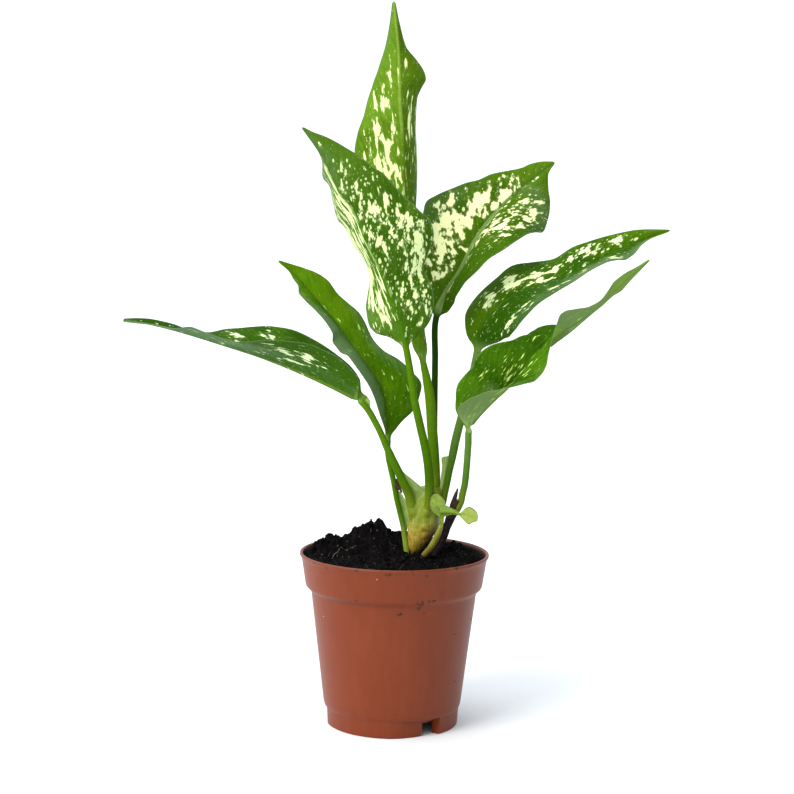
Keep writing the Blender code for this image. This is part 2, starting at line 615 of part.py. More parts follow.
def stalk_section(leaf, share, grow=0.0):
    """A stalk's upper and lower rows of points, with its thin side wings."""
    columns = 2 * len(HALF_COLUMNS) + 1
    radius = read_rows(leaf.stalk_radius, share)[0]
    left_wing, right_wing = read_rows(leaf.sheath, share)
    upper = []
    for column in range(columns):
        angle = math.radians(170.0 - 160.0 * column / (columns - 1))
        across = (radius + grow) * math.cos(angle)
        forward = (radius + grow) * math.sin(angle)
        upper.append([across, forward])
    for column, wing in ((0, -left_wing), (columns - 1, right_wing)):
        if abs(wing) > 0.05:
            upper[column][0] += wing + math.copysign(grow, wing)
    for column in (0, columns - 1):
        upper[column][1] = max(upper[column][1], BLADE_THICKNESS / 2 + grow)
    lower = [[across, -forward] for across, forward in upper]
    return np.array(upper), np.array(lower)


def leaf_rows(leaf):
    """Upper and lower rows of points for the whole leaf, foot to tip, and the tip."""
    path = Path(leaf.stalk + leaf.rib[1:])
    base = path.knots[len(leaf.stalk) - 1]
    rib_length = path.length - base
    distances = list(np.linspace(0.0, base, leaf.stations[0], endpoint=False))
    shares = np.linspace(0.0, TIP_SHARE, leaf.stations[1])
    distances += [base + share * rib_length for share in shares]
    middle = []
    for distance in distances:
        across = section_axes(path.direction(distance))[0]
        share = (distance - base) / rib_length
        flat = blade_section(leaf, max(share, 0.0))
        centre = path.at(distance)
        middle.append([centre + across * point[0] + FORWARD * point[1] for point in flat])
    middle = np.array(middle)
    normals = surface_normals(middle)
    upper_rows, lower_rows = [], []
    for index, distance in enumerate(distances):
        share = (distance - base) / rib_length
        across, forward = section_axes(path.direction(distance))
        upper, lower = stalk_section(leaf, distance / base)
        centre = path.at(distance)
        round_upper = centre + upper[:, :1] * across + upper[:, 1:] * forward
        round_lower = centre + lower[:, :1] * across + lower[:, 1:] * forward
        offset = normals[index] * BLADE_THICKNESS / 2
        thin_upper = middle[index] + offset
        thin_lower = middle[index] - offset
        ridge = leaf.ridge * (1 - 0.85 * min(max(share, 0.0), 1.0))
        rib_column = len(HALF_COLUMNS)
        if leaf.upper > 0:
            thin_lower[rib_column] -= normals[index][rib_column] * ridge
        else:
            thin_upper[rib_column] += normals[index][rib_column] * ridge
        blend = ease(share / BLEND_SHARE)
        upper_rows.append(round_upper * (1 - blend) + thin_upper * blend)
        lower_rows.append(round_lower * (1 - blend) + thin_lower * blend)
    return upper_rows, lower_rows, path.at(path.length)


def surface_normals(grid):
    """Unit normals of a grid of points, facing the front where it lies flat."""
    along = np.gradient(grid, axis=0)
    across = np.gradient(grid, axis=1)
    normals = np.cross(across, along)
    return normals / np.maximum(np.linalg.norm(normals, axis=2, keepdims=True), 1e-9)


def sheet_solid(name, upper_rows, lower_rows, tip, material=None):
    """A closed body from upper and lower rows, a flat foot and a pointed tip.

    Both faces of the sheet are split along the same diagonals.
    """
    points, upper_index, lower_index = [], [], []
    for rows, store in ((upper_rows, upper_index), (lower_rows, lower_index)):
        for row in rows:
            store.append(list(range(len(points), len(points) + len(row))))
            points.extend(row)
    columns = len(upper_index[0])
    faces = []
    for near, far in zip(range(len(upper_index) - 1), range(1, len(upper_index))):
        for column in range(columns - 1):
            for index, turned in ((upper_index, False), (lower_index, True)):
                first, second = index[near][column], index[near][column + 1]
                third, fourth = index[far][column + 1], index[far][column]
                pair = [(first, second, third), (first, third, fourth)]
                faces += [face[::-1] for face in pair] if turned else pair
        for column in (0, columns - 1):
            first, second = upper_index[near][column], lower_index[near][column]
            third, fourth = lower_index[far][column], upper_index[far][column]
            faces += [(first, second, third), (first, third, fourth)]
    foot = len(points)
    points.append((upper_rows[0].mean(axis=0) + lower_rows[0].mean(axis=0)) / 2)
    apex = len(points)
    points.append(tip)
    for row, centre in ((0, foot), (-1, apex)):
        ring = upper_index[row] + lower_index[row][::-1]
        faces += [(ring[i], ring[(i + 1) % len(ring)], centre) for i in range(len(ring))]
    return make_object(name, points, faces, material)


def tube_solid(name, stations, steps, grow=0.0, flutes=0, flute_depth=0.0, material=None):
    """A closed round body along stations of (x, y, z, half across, half deep)."""
    count = len(stations)
    points, faces = [], []
    for x, y, z, across, deep in stations:
        for step in range(steps):
            angle = 2 * math.pi * step / steps
            ridge = 1 + flute_depth * math.cos(flutes * angle + 0.05 * z)
            points.append((x + (across * ridge + grow) * math.cos(angle),
                           y + (deep * ridge + grow) * math.sin(angle), z))
    for ring in range(count - 1):
        for step in range(steps):
            nearby = (step + 1) % steps
            first, second = ring * steps + step, ring * steps + nearby
            third, fourth = second + steps, first + steps
            faces += [(first, second, third), (first, third, fourth)]
    for ring, reach in ((0, -grow), (count - 1, grow)):
        centre = len(points)
        x, y, z = stations[ring][:3]
        points.append((x, y, z + reach))
        faces += [(ring * steps + step, ring * steps + (step + 1) % steps, centre)
                  for step in range(steps)]
    return make_object(name, points, faces, material)


def stalk_cutter(name, leaf, reach):
    """A stalk grown by the gap on all sides, as a cutter, to just past a distance along it."""
    path = Path(leaf.stalk + leaf.rib[1:])
    base = path.knots[len(leaf.stalk) - 1]
    distances = np.linspace(0.0, base, leaf.stations[0], endpoint=False)
    count = int(np.searchsorted(distances, reach)) + 1
    upper_rows, lower_rows = [], []
    for distance in [-GAP, *distances[:count]]:
        inside = max(distance, 0.0)
        across, forward = section_axes(path.direction(inside))
        centre = path.at(inside) + path.direction(inside) * (distance - inside)
        upper, lower = stalk_section(leaf, inside / base, GAP + 0.05)
        upper_rows.append(centre + upper[:, :1] * across + upper[:, 1:] * forward)
        lower_rows.append(centre + lower[:, :1] * across + lower[:, 1:] * forward)
    tip = centre + path.direction(distance) * 0.2
    return sheet_solid(name, upper_rows, lower_rows, tip)


def make_leaf(name):
    """One leaf with its stalk."""
    item = sheet_solid(name, *leaf_rows(LEAVES[name]), make_material(name))
    shade(item)


def recess_depth(angle):
    """How deep the foot ring is set back at an angle from the front, in degrees."""
    turn = angle % (360.0 / RECESS_COUNT)
    if turn <= RECESS_SPAN:
        return RECESS_DEPTH * turn / RECESS_SPAN
    if turn <= RECESS_SPAN + RECESS_STEP:
        return RECESS_DEPTH * (1 - (turn - RECESS_SPAN) / RECESS_STEP)
    return 0.0


def pot_profile():
    """The pot's section as (radius, height, follows the recess), rim down, then inside up."""
    lip = POT_HEIGHT
    inner = RIM_RADIUS - 1.5
    return (
        (RIM_RADIUS - 0.4, lip, 0), (RIM_RADIUS, lip - 0.8, 0), (COLLAR_TOP_RADIUS, lip - 2.4, 0),
        (COLLAR_LOW_RADIUS, COLLAR_LOW, 0),
        (COLLAR_LOW_RADIUS - 0.7, COLLAR_LOW - 1.6, 0), (WALL_TOP_RADIUS, WALL_TOP, 0),
        (WALL_LOW_RADIUS, WALL_LOW, 0), (FOOT_RADIUS + 0.6, LEDGE, 0),
        (FOOT_RADIUS + 0.5, LEDGE - 0.3, 1), (FOOT_RADIUS, 0.5, 1), (FOOT_RADIUS - 0.3, 0.0, 1),
        (FOOT_RADIUS - POT_WALL, 0.0, 1), (FOOT_RADIUS - POT_WALL + 0.3, FLOOR_UNDERSIDE, 1),
        (0.0, FLOOR_UNDERSIDE, 0), (0.0, FLOOR_TOP, 0), (FOOT_RADIUS - 0.8, FLOOR_TOP, 0),
        (WALL_LOW_RADIUS - POT_WALL, WALL_LOW + 0.4, 0),
        (WALL_TOP_RADIUS - POT_WALL, WALL_TOP + 0.6, 0),
        (COLLAR_LOW_RADIUS - POT_WALL - 0.6, COLLAR_LOW - 0.6, 0),
        (COLLAR_LOW_RADIUS - POT_WALL, COLLAR_LOW + 0.8, 0),
        (COLLAR_TOP_RADIUS - POT_WALL, lip - 2.4, 0), (inner, lip - 0.5, 0), (inner + 0.4, lip, 0),
    )


def pot_angles():
    """Angles round the pot, in degrees from the front, with each recess's step."""
    found = {360.0 * step / POT_STEPS for step in range(POT_STEPS)}
    for number in range(RECESS_COUNT):
        start = number * 360.0 / RECESS_COUNT
        found.discard(start + 45.0)
        found |= {start + RECESS_SPAN, start + RECESS_SPAN + RECESS_STEP}
    return sorted(found)


def around(radius, angle):
    """x and y at a radius and an angle in degrees, from the front towards +X."""
    return radius * math.sin(math.radians(angle)), -radius * math.cos(math.radians(angle))


def make_pot():
    """The pot, turned from its profile, with its notches and drain holes cut."""
    profile, angles = pot_profile(), pot_angles()
    points, index, faces = [], [], []
    for radius, height, follows in profile:
        if radius == 0.0:
            index.append([len(points)] * len(angles))
            points.append((0.0, 0.0, height))
            continue
        index.append(list(range(len(points), len(points) + len(angles))))
        for angle in angles:
            x, y = around(radius - follows * recess_depth(angle), angle)
            points.append((x, y, height))
    for row in range(len(profile)):
        near, far = index[row], index[(row + 1) % len(profile)]
        for step in range(len(angles)):
            nearby = (step + 1) % len(angles)
            corners = [near[step], near[nearby], far[nearby], far[step]]
            corners = list(dict.fromkeys(corners))
            if len(corners) == 4:
                faces += [tuple(corners[:3]), (corners[0], corners[2], corners[3])]
            elif len(corners) == 3:
                faces.append(tuple(corners))
    pot = make_object("pot", points, faces, make_material("pot"))
    combine(pot, notch_cutters() + drain_cutters(), "DIFFERENCE")
    shade(pot)


def notch_cutters():
    """Wedges that cut the drainage notch at the deep end of each recess."""
    found = []
    for number in range(RECESS_COUNT):
        end = number * 360.0 / RECESS_COUNT + RECESS_SPAN - 0.5
        corners = []
        for radius, angle in ((FOOT_RADIUS - 8, end - NOTCH_SPAN), (FOOT_RADIUS + 4, end - NOTCH_SPAN),
                              (FOOT_RADIUS + 4, end), (FOOT_RADIUS - 8, end)):
            corners.append(around(radius, angle))
        points = [(x, y, z) for z in (-1.0, NOTCH_HEIGHT) for x, y in corners]
        faces = [(0, 1, 2, 3), (4, 5, 6, 7), (0, 1, 5, 4), (1, 2, 6, 5), (2, 3, 7, 6), (3, 0, 4, 7)]
        found.append(make_object("notch", points, faces))
    return found


def drain_cutters(steps=12):
    """Plain round drain holes through the pot's floor, one behind each notch and one central."""
    places = [(0.0, 0.0)]
    for number in range(RECESS_COUNT):
        places.append(around(DRAIN_RING_RADIUS, number * 360.0 / RECESS_COUNT + 36.0))
    found = []
    for x, y in places:
        stations = [(x, y, z, DRAIN_RADIUS, DRAIN_RADIUS) for z in (FLOOR_UNDERSIDE - 2, FLOOR_TOP + 2)]
        found.append(tube_solid("drain", stations, steps))
    return found


def soil_lumps():
    """Small seeded lumps over the peat: x, y, height, radius."""
    draw = random.Random(SOIL_SEED)
    found = []
    for _ in range(SOIL_LUMPS):
        angle = draw.uniform(0.0, 2 * math.pi)
        distance = 40.0 * math.sqrt(draw.random())
        found.append((distance * math.cos(angle), distance * math.sin(angle),
                      draw.uniform(-0.9, 1.5), draw.uniform(2.6, 4.6)))
    return found


def soil_height(x, y, lumps):
    """Height of the peat at a point."""
    height = SOIL_LEVEL
    for centre_x, centre_y, rise, radius in list(SOIL_HEAPS) + lumps:
        distance = ((x - centre_x) ** 2 + (y - centre_y) ** 2) / (radius * radius)
        height += rise * math.exp(-distance)
    return height


def make_soil():
    """The peat that fills the pot, with plain holes where the stems stand."""
    lumps = soil_lumps()
    edge = COLLAR_TOP_RADIUS - POT_WALL - GAP - 0.1
    lift = 0.35
    side = (
        (COLLAR_LOW_RADIUS - POT_WALL - GAP, COLLAR_LOW + 0.8 + lift),
        (COLLAR_LOW_RADIUS - POT_WALL - 0.6 - GAP, COLLAR_LOW - 0.6 + lift),
        (WALL_TOP_RADIUS - POT_WALL - GAP, WALL_TOP + 0.6 + lift),
        (WALL_LOW_RADIUS - POT_WALL - GAP, WALL_LOW + 0.4 + lift),
        (FOOT_RADIUS - 0.8 - GAP, FLOOR_TOP + GAP),
    )
    points, faces = [(0.0, 0.0, soil_height(0.0, 0.0, lumps))], []
    rings = []
    for ring in range(1, SOIL_RINGS + 1):
        radius = edge * ring / SOIL_RINGS
        rings.append(list(range(len(points), len(points) + SOIL_STEPS)))
        for step in range(SOIL_STEPS):
            angle = 2 * math.pi * (step + 0.5 * (ring % 2)) / SOIL_STEPS
            x, y = radius * math.cos(angle), radius * math.sin(angle)
            height = soil_height(x, y, lumps)
            limit = POT_HEIGHT - 1.6 if ring == SOIL_RINGS else height
            points.append((x, y, min(height, limit)))
    for radius, height in side:
        rings.append(list(range(len(points), len(points) + SOIL_STEPS)))
        for step in range(SOIL_STEPS):
            angle = 2 * math.pi * (step + 0.5 * (SOIL_RINGS % 2)) / SOIL_STEPS
            points.append((radius * math.cos(angle), radius * math.sin(angle), height))
    bottom = len(points)
    points.append((0.0, 0.0, side[-1][1]))
    for step in range(SOIL_STEPS):
        nearby = (step + 1) % SOIL_STEPS
        faces.append((rings[0][step], rings[0][nearby], 0))
        faces.append((rings[-1][nearby], rings[-1][step], bottom))
        for near, far in zip(rings[:-1], rings[1:]):
            faces += [(near[step], far[step], far[nearby]), (near[step], far[nearby], near[nearby])]
    soil = make_object("soil", points, faces, make_material("soil"))
    wide = GAP + 0.1
    cutters = [
        tube_solid("crown_hole", CROWN, CROWN_STEPS, wide, CROWN_FLUTES, CROWN_FLUTE_DEPTH),
        tube_solid("stem_hole", old_stem_stations(), 14, wide),
        stalk_cutter("stalk_hole", LEAVES["leaf_left_back"], 30.0),
        stalk_cutter("shoot_hole", SHOOT_BRACT, 18.0),
    ]
    for cutter in cutters:
        combine(soil, [cutter], "DIFFERENCE")
    shade(soil, 60.0)


def make_crown():
    """The plant's short swollen base, with a socket for each stalk that rises from it."""
    crown = tube_solid("crown", CROWN, CROWN_STEPS, 0.0, CROWN_FLUTES, CROWN_FLUTE_DEPTH,
                       make_material("crown"))
    for name in ("leaf_top", "leaf_front", "leaf_back_right", "leaf_right_upper", "leaf_left",
                 "leaf_left_back"):
        reach = 45.0 if name == "leaf_left_back" else 24.0
        combine(crown, [stalk_cutter("socket", LEAVES[name], reach)], "DIFFERENCE")
    combine(crown, [tube_solid("stem", old_stem_stations(), 14, GAP)], "DIFFERENCE")
    combine(crown, [stalk_cutter("socket", SHOOT_BRACT, 32.0)], "DIFFERENCE")
    shade(crown)


def old_stem_stations():
    """The old stem's stations with equal half widths."""
    return [(x, y, z, radius, radius) for x, y, z, radius in OLD_STEM]


def make_old_stem():
    """The dark old stem, its dried sheath, and a socket for the lower right leaf's stalk."""
    stem = tube_solid("old_stem", old_stem_stations(), 14, material=make_material("old_stem"))
    sheath = sheet_solid("sheath", *leaf_rows(OLD_SHEATH))
    combine(stem, [sheath], "UNION", "MANIFOLD")
    combine(stem, [stalk_cutter("socket", LEAVES["leaf_right_lower"], 16.0)], "DIFFERENCE")
    shade(stem)


def make_young_shoot():
    """The young shoot: stalk and bract, joined to the side stalk and its small leaf."""
    shoot = sheet_solid("young_shoot", *leaf_rows(SHOOT_BRACT), make_material("young_shoot"))
    combine(shoot, [sheet_solid("side", *leaf_rows(SHOOT_LEAF))], "UNION", "MANIFOLD")
    shade(shoot)


def make_dry_scale():
    """The small dried scale."""
    scale = sheet_solid("dry_scale", *leaf_rows(DRY_SCALE), make_material("dry_scale"))
    shade(scale)


def main():
    """Build every piece of the plant and its pot."""
    clear_scene()
    make_pot()
    make_soil()
    make_crown()
    make_old_stem()
    make_young_shoot()
    make_dry_scale()
    for name in LEAVES:
        make_leaf(name)


main()
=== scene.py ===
"""Potted Chinese evergreen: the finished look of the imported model, as a Blender 4.5 script.

Seven variegated leaves, a young shoot and an old stem grow from a short crown in
dark peat, in a plastic nursery pot. The tables of the plant's forms are in
millimetres, which MM turns into Blender's metres. +Z is up and the front is -Y.
"""

import logging
import math
import random
from contextlib import contextmanager
from dataclasses import dataclass
from enum import Enum
from pathlib import Path as FilePath
from typing import Iterator, Sequence

import bpy
import numpy as np
from mathutils import Matrix, Vector, noise


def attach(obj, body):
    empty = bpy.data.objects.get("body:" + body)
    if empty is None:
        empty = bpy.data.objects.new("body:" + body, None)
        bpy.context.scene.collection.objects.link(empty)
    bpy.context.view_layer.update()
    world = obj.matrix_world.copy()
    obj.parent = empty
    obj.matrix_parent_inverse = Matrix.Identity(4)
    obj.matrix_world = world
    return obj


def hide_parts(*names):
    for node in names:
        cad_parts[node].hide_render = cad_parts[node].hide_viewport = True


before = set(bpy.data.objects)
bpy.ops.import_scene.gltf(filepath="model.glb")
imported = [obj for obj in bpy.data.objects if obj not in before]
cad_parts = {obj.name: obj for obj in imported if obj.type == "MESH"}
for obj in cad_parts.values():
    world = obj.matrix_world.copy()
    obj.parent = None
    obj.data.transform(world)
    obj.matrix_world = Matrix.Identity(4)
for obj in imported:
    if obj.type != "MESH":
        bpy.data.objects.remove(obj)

LOG = logging.getLogger("plant")
MM = 0.001
BODY = "root"

Colour = tuple[float, float, float]
Row = tuple[float, ...]
Item = bpy.types.Object
Material = bpy.types.Material
Socket = bpy.types.NodeSocket
Source = Socket | float | tuple

# Direction in which the margins' forward distances run: to the front and a little up
FORWARD = np.array([0.0, -0.994, 0.107])

# Blades: half thickness, and shares of the rib at which the stalk is flat and the last ring lies
BLADE_HALF_THICKNESS = 0.21
BLEND_SHARE = 0.05
TIP_SHARE = 0.994

# Where a row of four values lies across a blade, as shares of each half's width
FOUR_PLACES = (-0.8, -0.3, 0.3, 0.8)

# How dense the blotches may lie, so that some green always shows between them
FULL_DENSITY = 0.80

# How far colours are taken down so that pale blotches can be brighter than the rest
DIM = 0.77


class Face(Enum):
    """The face of a blade that the front view shows."""

    UPPER = 1
    UNDER = -1


class Patch(Enum):
    """The names of the attributes that carry a leaf's own coordinates to its material."""

    BLADE = "blade"
    PLACE = "place"
    TINT = "tint"


@dataclass(frozen=True)
class LeafShape:
    """One leaf, from the foot of its stalk to its tip.

    stalk and rib are points on its centre line. Each row of halves gives, at a
    share of the rib's length, how far the left margin lies across and forward of
    the rib, and then the same for the right margin. bulge crowns each half, left
    and right, and curl rows add to it where a half curls over. ripple is the
    height, number and phase of the waves along the margins. stalk_radius and
    sheath rows give the stalk's radius and the widths of its thin side wings, at a
    share of its length. ridge is how far the rib stands out of the underside.
    """

    stalk: tuple[Row, ...]
    rib: tuple[Row, ...]
    halves: tuple[Row, ...]
    stalk_radius: tuple[Row, ...]
    front: Face = Face.UPPER
    bulge: Row = (0, 0)
    curl: tuple[Row, ...] = ((0, 0, 0), (1, 0, 0))
    ripple: Row = (0, 3, 0)
    sheath: tuple[Row, ...] = ((0, 0, 0), (1, 0, 0))
    ridge: float = 0.9


LEAF_TOP = LeafShape(
    stalk=(
        (15.8, 5.4, 99), (18.6, 5.2, 106), (18.9, 5, 112), (18.6, 5, 121), (17.9, 4.6, 130.5),
        (17, 4.2, 140), (15.7, 3.4, 154.5), (14, 2.6, 164), (12.2, 2, 172)),
    rib=(
        (12.2, 2, 172), (11, 1.4, 181), (9.4, 1, 196), (6, 0, 220), (2, 0, 249), (0.8, 2, 273),
        (-1, 4, 295), (-2, 6, 317), (-4.6, 6, 340)),
    halves=(
        (0, 1.6, 0, 1.6, 0), (0.03, 3.4, -1, 2.8, -1.5), (0.08, 4.8, -1, 2.4, -3),
        (0.2, 10.2, -3, 2, -8), (0.35, 18, -5, 3.6, -12), (0.5, 23, -7, 6, -17),
        (0.6, 22.6, -7, 6.6, -17), (0.65, 20.8, -6.5, 7, -15.5), (0.7, 17.2, -6, 7.6, -13),
        (0.74, 15, -5, 8.2, -9.5), (0.77, 13, -4.5, 10.4, -7), (0.79, 11.8, -4, 12.4, -4.5),
        (0.81, 10.4, -3.5, 11.6, -4), (0.84, 8.6, -3, 8.4, -4), (0.88, 6, -2, 3.6, -4),
        (0.94, 3, -1, 1.8, -2), (1, 0.6, 0, 0.6, 0)),
    stalk_radius=((0, 2.5), (0.72, 2.4), (0.86, 2.1), (1, 1.5)), front=Face.UNDER,
    bulge=(0.05, 0.1), ripple=(0.3, 3.5, 0.4))
LEAF_FRONT = LeafShape(
    stalk=(
        (14.4, -0.4, 99), (15.8, -2.8, 105), (16.1, -4, 110), (16, -4.6, 115), (15.1, -6.6, 125),
        (13.3, -8.6, 134.6), (10.9, -10.4, 144.2), (8.2, -12.6, 156), (6.6, -14, 165.6),
        (4.9, -15.4, 175), (3.9, -16, 180)),
    rib=(
        (3.9, -16, 180), (1, -19, 192), (-3, -22, 203), (-9, -26, 218), (-15, -30, 230),
        (-20, -33, 242), (-27, -36, 252), (-35, -38, 267), (-44, -40, 279.4)),
    halves=(
        (0, 1.5, 0, 1.5, 0), (0.03, 3.4, -1, 4.4, -1), (0.06, 5.8, -1.5, 9.2, -2),
        (0.1, 12.2, -3, 14.2, -4), (0.15, 14, -5, 17.6, -5), (0.22, 12.6, -10, 19.2, -6),
        (0.29, 8.8, -16, 18.6, -9), (0.34, 6.4, -18, 22.8, -8), (0.4, 4.8, -20, 29.2, -6),
        (0.45, 4.4, -21, 30, -5), (0.5, 5.6, -21, 28.6, -4), (0.55, 6.2, -19, 26.2, -4),
        (0.6, 7.4, -17, 22.4, -5), (0.63, 8.2, -16, 21.2, -5), (0.66, 7.4, -15.5, 20.6, -5),
        (0.7, 5.2, -15, 19.6, -5), (0.76, 2.6, -13, 17.2, -4.5), (0.8, 3.8, -12, 15.2, -4),
        (0.86, 0, -9, 10.4, -3.4), (0.92, -1.4, -5, 6, -2.4), (0.96, -0.8, -2.5, 2.8, -1.2),
        (1, 0.3, 0, 0.3, 0)),
    stalk_radius=((0, 2.3), (0.4, 2), (0.7, 1.8), (1, 1.5)), front=Face.UNDER, bulge=(0.08, 0.08),
    ripple=(0.3, 4, 1.2))
LEAF_BACK_RIGHT = LeafShape(
    stalk=(
        (13.6, 9.9, 99), (17.4, 10.2, 105), (18.8, 11, 120), (18.2, 11.6, 137), (18, 12, 154),
        (17.9, 13, 173), (18, 14, 192.6)),
    rib=(
        (18, 14, 192.6), (23, 17, 204), (30, 20, 215), (35, 24, 226), (41, 28, 236), (50, 33, 247),
        (61, 38, 257), (75, 42.6, 268)),
    halves=(
        (0, 1.4, 0, 1.4, 0), (0.055, 7, 0, 4.6, 3), (0.1, 11.8, 0, 5, 8),
        (0.135, 15.4, -0.5, 4.2, 11), (0.2, 20.8, -1, 4.2, 15), (0.3, 25.2, -2, 7.4, 18),
        (0.37, 27.2, -2, 10, 19), (0.42, 29, -2, 12.2, 18.5), (0.46, 30.4, -2, 13.8, 18),
        (0.5, 28.2, -2, 15, 17), (0.565, 23.8, -2, 17, 14), (0.62, 20.4, -2, 18.6, 11),
        (0.665, 17, -2, 20.6, 8), (0.715, 15, -2, 23, 4), (0.79, 10.8, -1.5, 19.8, 2),
        (0.86, 7.4, -1, 14, 1), (0.89, 6.8, -1, 9, 1), (0.945, 4.4, -0.5, 2.4, 1),
        (1, 0.5, 0, 0.5, 0)),
    stalk_radius=((0, 1.5), (1, 1.5)), bulge=(0.04, 0.12), ripple=(0.3, 3, 0))
LEAF_RIGHT_UPPER = LeafShape(
    stalk=(
        (20.2, 1.8, 99), (22.4, 1.6, 105), (23.6, 2.6, 111), (24.6, 3.8, 116), (25.5, 4.8, 121),
        (26.5, 5.6, 125.6), (28.2, 6, 135), (30, 6, 143), (34.6, 7, 161.6), (37.6, 8, 177)),
    rib=(
        (37.6, 8, 177), (39, 9, 188), (43, 10, 195), (48, 11, 200), (58, 13, 206), (69, 15, 210),
        (81, 18, 214), (91, 20, 219), (103, 23, 225), (116, 26, 230.4), (130.6, 30, 236)),
    halves=(
        (0, 1.6, 0, 1.8, 0), (0.03, 2.8, -2, 6, 2), (0.06, 5, -5, 11, 5), (0.09, 7, -7, 12.8, 6.5),
        (0.13, 9.6, -10, 13.8, 8), (0.19, 10.4, -13.5, 14, 11), (0.27, 11.6, -15, 12.4, 13.5),
        (0.34, 13.4, -15.5, 9.8, 15), (0.4, 12.2, -16, 7.4, 16), (0.5, 10.6, -14, 4.8, 15),
        (0.6, 11.6, -11, 3.2, 12), (0.68, 10.2, -8.5, 2.8, 9.5), (0.73, 9.2, -7, 3.8, 8),
        (0.77, 8.4, -5.5, 5.4, 6.5), (0.81, 7.6, -3.5, 4.6, 5), (0.86, 6.4, -2, 1.8, 3.5),
        (0.91, 4.4, -0.5, 0.6, 2.5), (1, 0.4, 0, 0.4, 0)),
    stalk_radius=((0, 1.6), (0.25, 1.7), (0.45, 2), (1, 1.7)), bulge=(0.06, 0.06),
    ripple=(0.3, 3, 0.8),
    sheath=(
        (0, 0, 0), (0.1, 0, 0), (0.17, 1.2, 0), (0.24, 1.7, 0), (0.3, 2.1, 0), (0.33, 2.8, 0),
        (0.352, 3, 0), (0.365, 0, 0), (1, 0, 0)))
LEAF_RIGHT_LOWER = LeafShape(
    stalk=(
        (28.4, -0.8, 101), (30.9, -2, 106.4), (31.8, -2.2, 111), (32.7, -2.6, 115.4),
        (33.4, -3.8, 125), (33.6, -4.6, 130), (33.8, -6.4, 135.6), (33.8, -8, 141)),
    rib=(
        (33.8, -8, 141), (35.2, -9.2, 145), (38.8, -11, 149.4), (44.2, -13, 155.6),
        (50.6, -15, 162.4), (57, -17, 171), (64, -19, 180), (72, -20, 188), (82, -20, 194),
        (92, -19, 202), (102, -18, 212), (114.6, -17, 223)),
    halves=(
        (0, 1.6, 0, 1.6, 0), (0.03, 7.4, -1, -8.2, 3), (0.06, 12.2, -3, -9.9, 5),
        (0.1, 16, -4, -9.4, 7), (0.13, 17.6, -5, -7.9, 8.5), (0.17, 18.1, -5, -5.8, 11),
        (0.21, 18.4, -5, -2.5, 13), (0.25, 19.8, -4, 0.6, 14), (0.29, 20, -4, 4, 15),
        (0.33, 18.8, -4, 7.1, 14), (0.37, 16, -5, 7.5, 13), (0.41, 11.9, -6, 6.7, 11.5),
        (0.44, 10.3, -7.5, 4.8, 10.5), (0.455, 9, -9.2, 3.8, 10.3), (0.47, 4.6, -11, 2.8, 10),
        (0.495, -3.6, -12.5, 1, 10), (0.52, -3.8, -12.5, -0.9, 10), (0.545, -3.8, -12, -3.6, 9.5),
        (0.58, -3.2, -10, -7.2, 8), (0.6, -2.6, -8.5, -7.4, 7), (0.65, -1.4, -6, -5.4, 5),
        (0.7, -1, -5, -2.4, 4), (0.75, -1.3, -4, -1.3, 3.5), (0.8, -1.6, -3, -2.2, 3),
        (0.84, -2.6, -2.5, -3.1, 2), (0.89, -1.8, -2, -2.6, 2), (0.94, -1.1, -1, -1.3, 1),
        (1, -0.4, 0, -0.4, 0)),
    stalk_radius=((0, 1.6), (1, 1.6)), bulge=(0.06, 0.06),
    curl=(
        (0, 0, 0), (0.44, 0, 0), (0.455, 0.2, 0), (0.47, 0.48, 0), (0.495, 0.68, 0),
        (0.53, 0.54, 0), (0.56, 0.36, 0), (0.6, 0, 0), (1, 0, 0)),
    ripple=(0.2, 4, 0))
LEAF_LEFT_BACK = LeafShape(
    stalk=(
        (8.6, 4, 66), (7.2, 4.2, 75), (6, 4.5, 81), (4.8, 5.5, 88.7), (4.1, 6, 93), (3.1, 6.4, 97),
        (1.8, 7, 102), (0.6, 7.4, 106.7), (-0.9, 8, 114.3), (-2.3, 8.4, 120), (-3.5, 8.6, 125),
        (-4.1, 8.5, 129.6), (-3.9, 8, 134)),
    rib=(
        (-3.9, 8, 134), (-5.2, 8, 144), (-6.2, 9, 154), (-10, 11, 163), (-16, 13, 171),
        (-22, 16, 179), (-29, 20, 188), (-36, 24, 196), (-45, 29, 206), (-51, 33, 212),
        (-59, 36, 218)),
    halves=(
        (0, 1.3, 0, 1.3, 0), (0.03, 0.8, 1, 2.8, -1), (0.06, 1, 3, 5.6, -2), (0.09, 1.6, 5, 9, -3),
        (0.125, 2.6, 7.5, 12.8, -3.5), (0.17, 3.8, 10, 16.6, -4), (0.205, 4.2, 12, 19.2, -4),
        (0.24, 4.4, 13.5, 17.4, -5), (0.29, 4.4, 15, 14.8, -7), (0.36, 4, 15.5, 11, -8.5),
        (0.43, 4.4, 14.5, 9.8, -9), (0.47, 6.6, 13.5, 10.4, -9), (0.52, 6.8, 13, 11.6, -9),
        (0.565, 4, 12.5, 12, -8.5), (0.63, 3.4, 11.5, 10.6, -8), (0.7, 4, 10, 9.6, -7),
        (0.765, 4.8, 8.5, 10.2, -5.5), (0.805, 4.8, 7, 9.4, -5), (0.845, 2.4, 5.5, 7.8, -4),
        (0.88, 2.2, 4, 5.8, -3), (0.93, 0.9, 2, 3.2, -1), (1, 0.4, 0, 0.4, 0)),
    stalk_radius=((0, 1.4), (1, 1.3)), bulge=(0.06, 0.06), ripple=(0.2, 4, 2),
    sheath=(
        (0, 0, 0), (0.36, 0, 0), (0.41, 0, 1.4), (0.45, 0, 2.8), (0.5, 0, 3.4), (0.55, 0, 3),
        (0.61, 0, 1.8), (0.66, 0, 0), (1, 0, 0)))
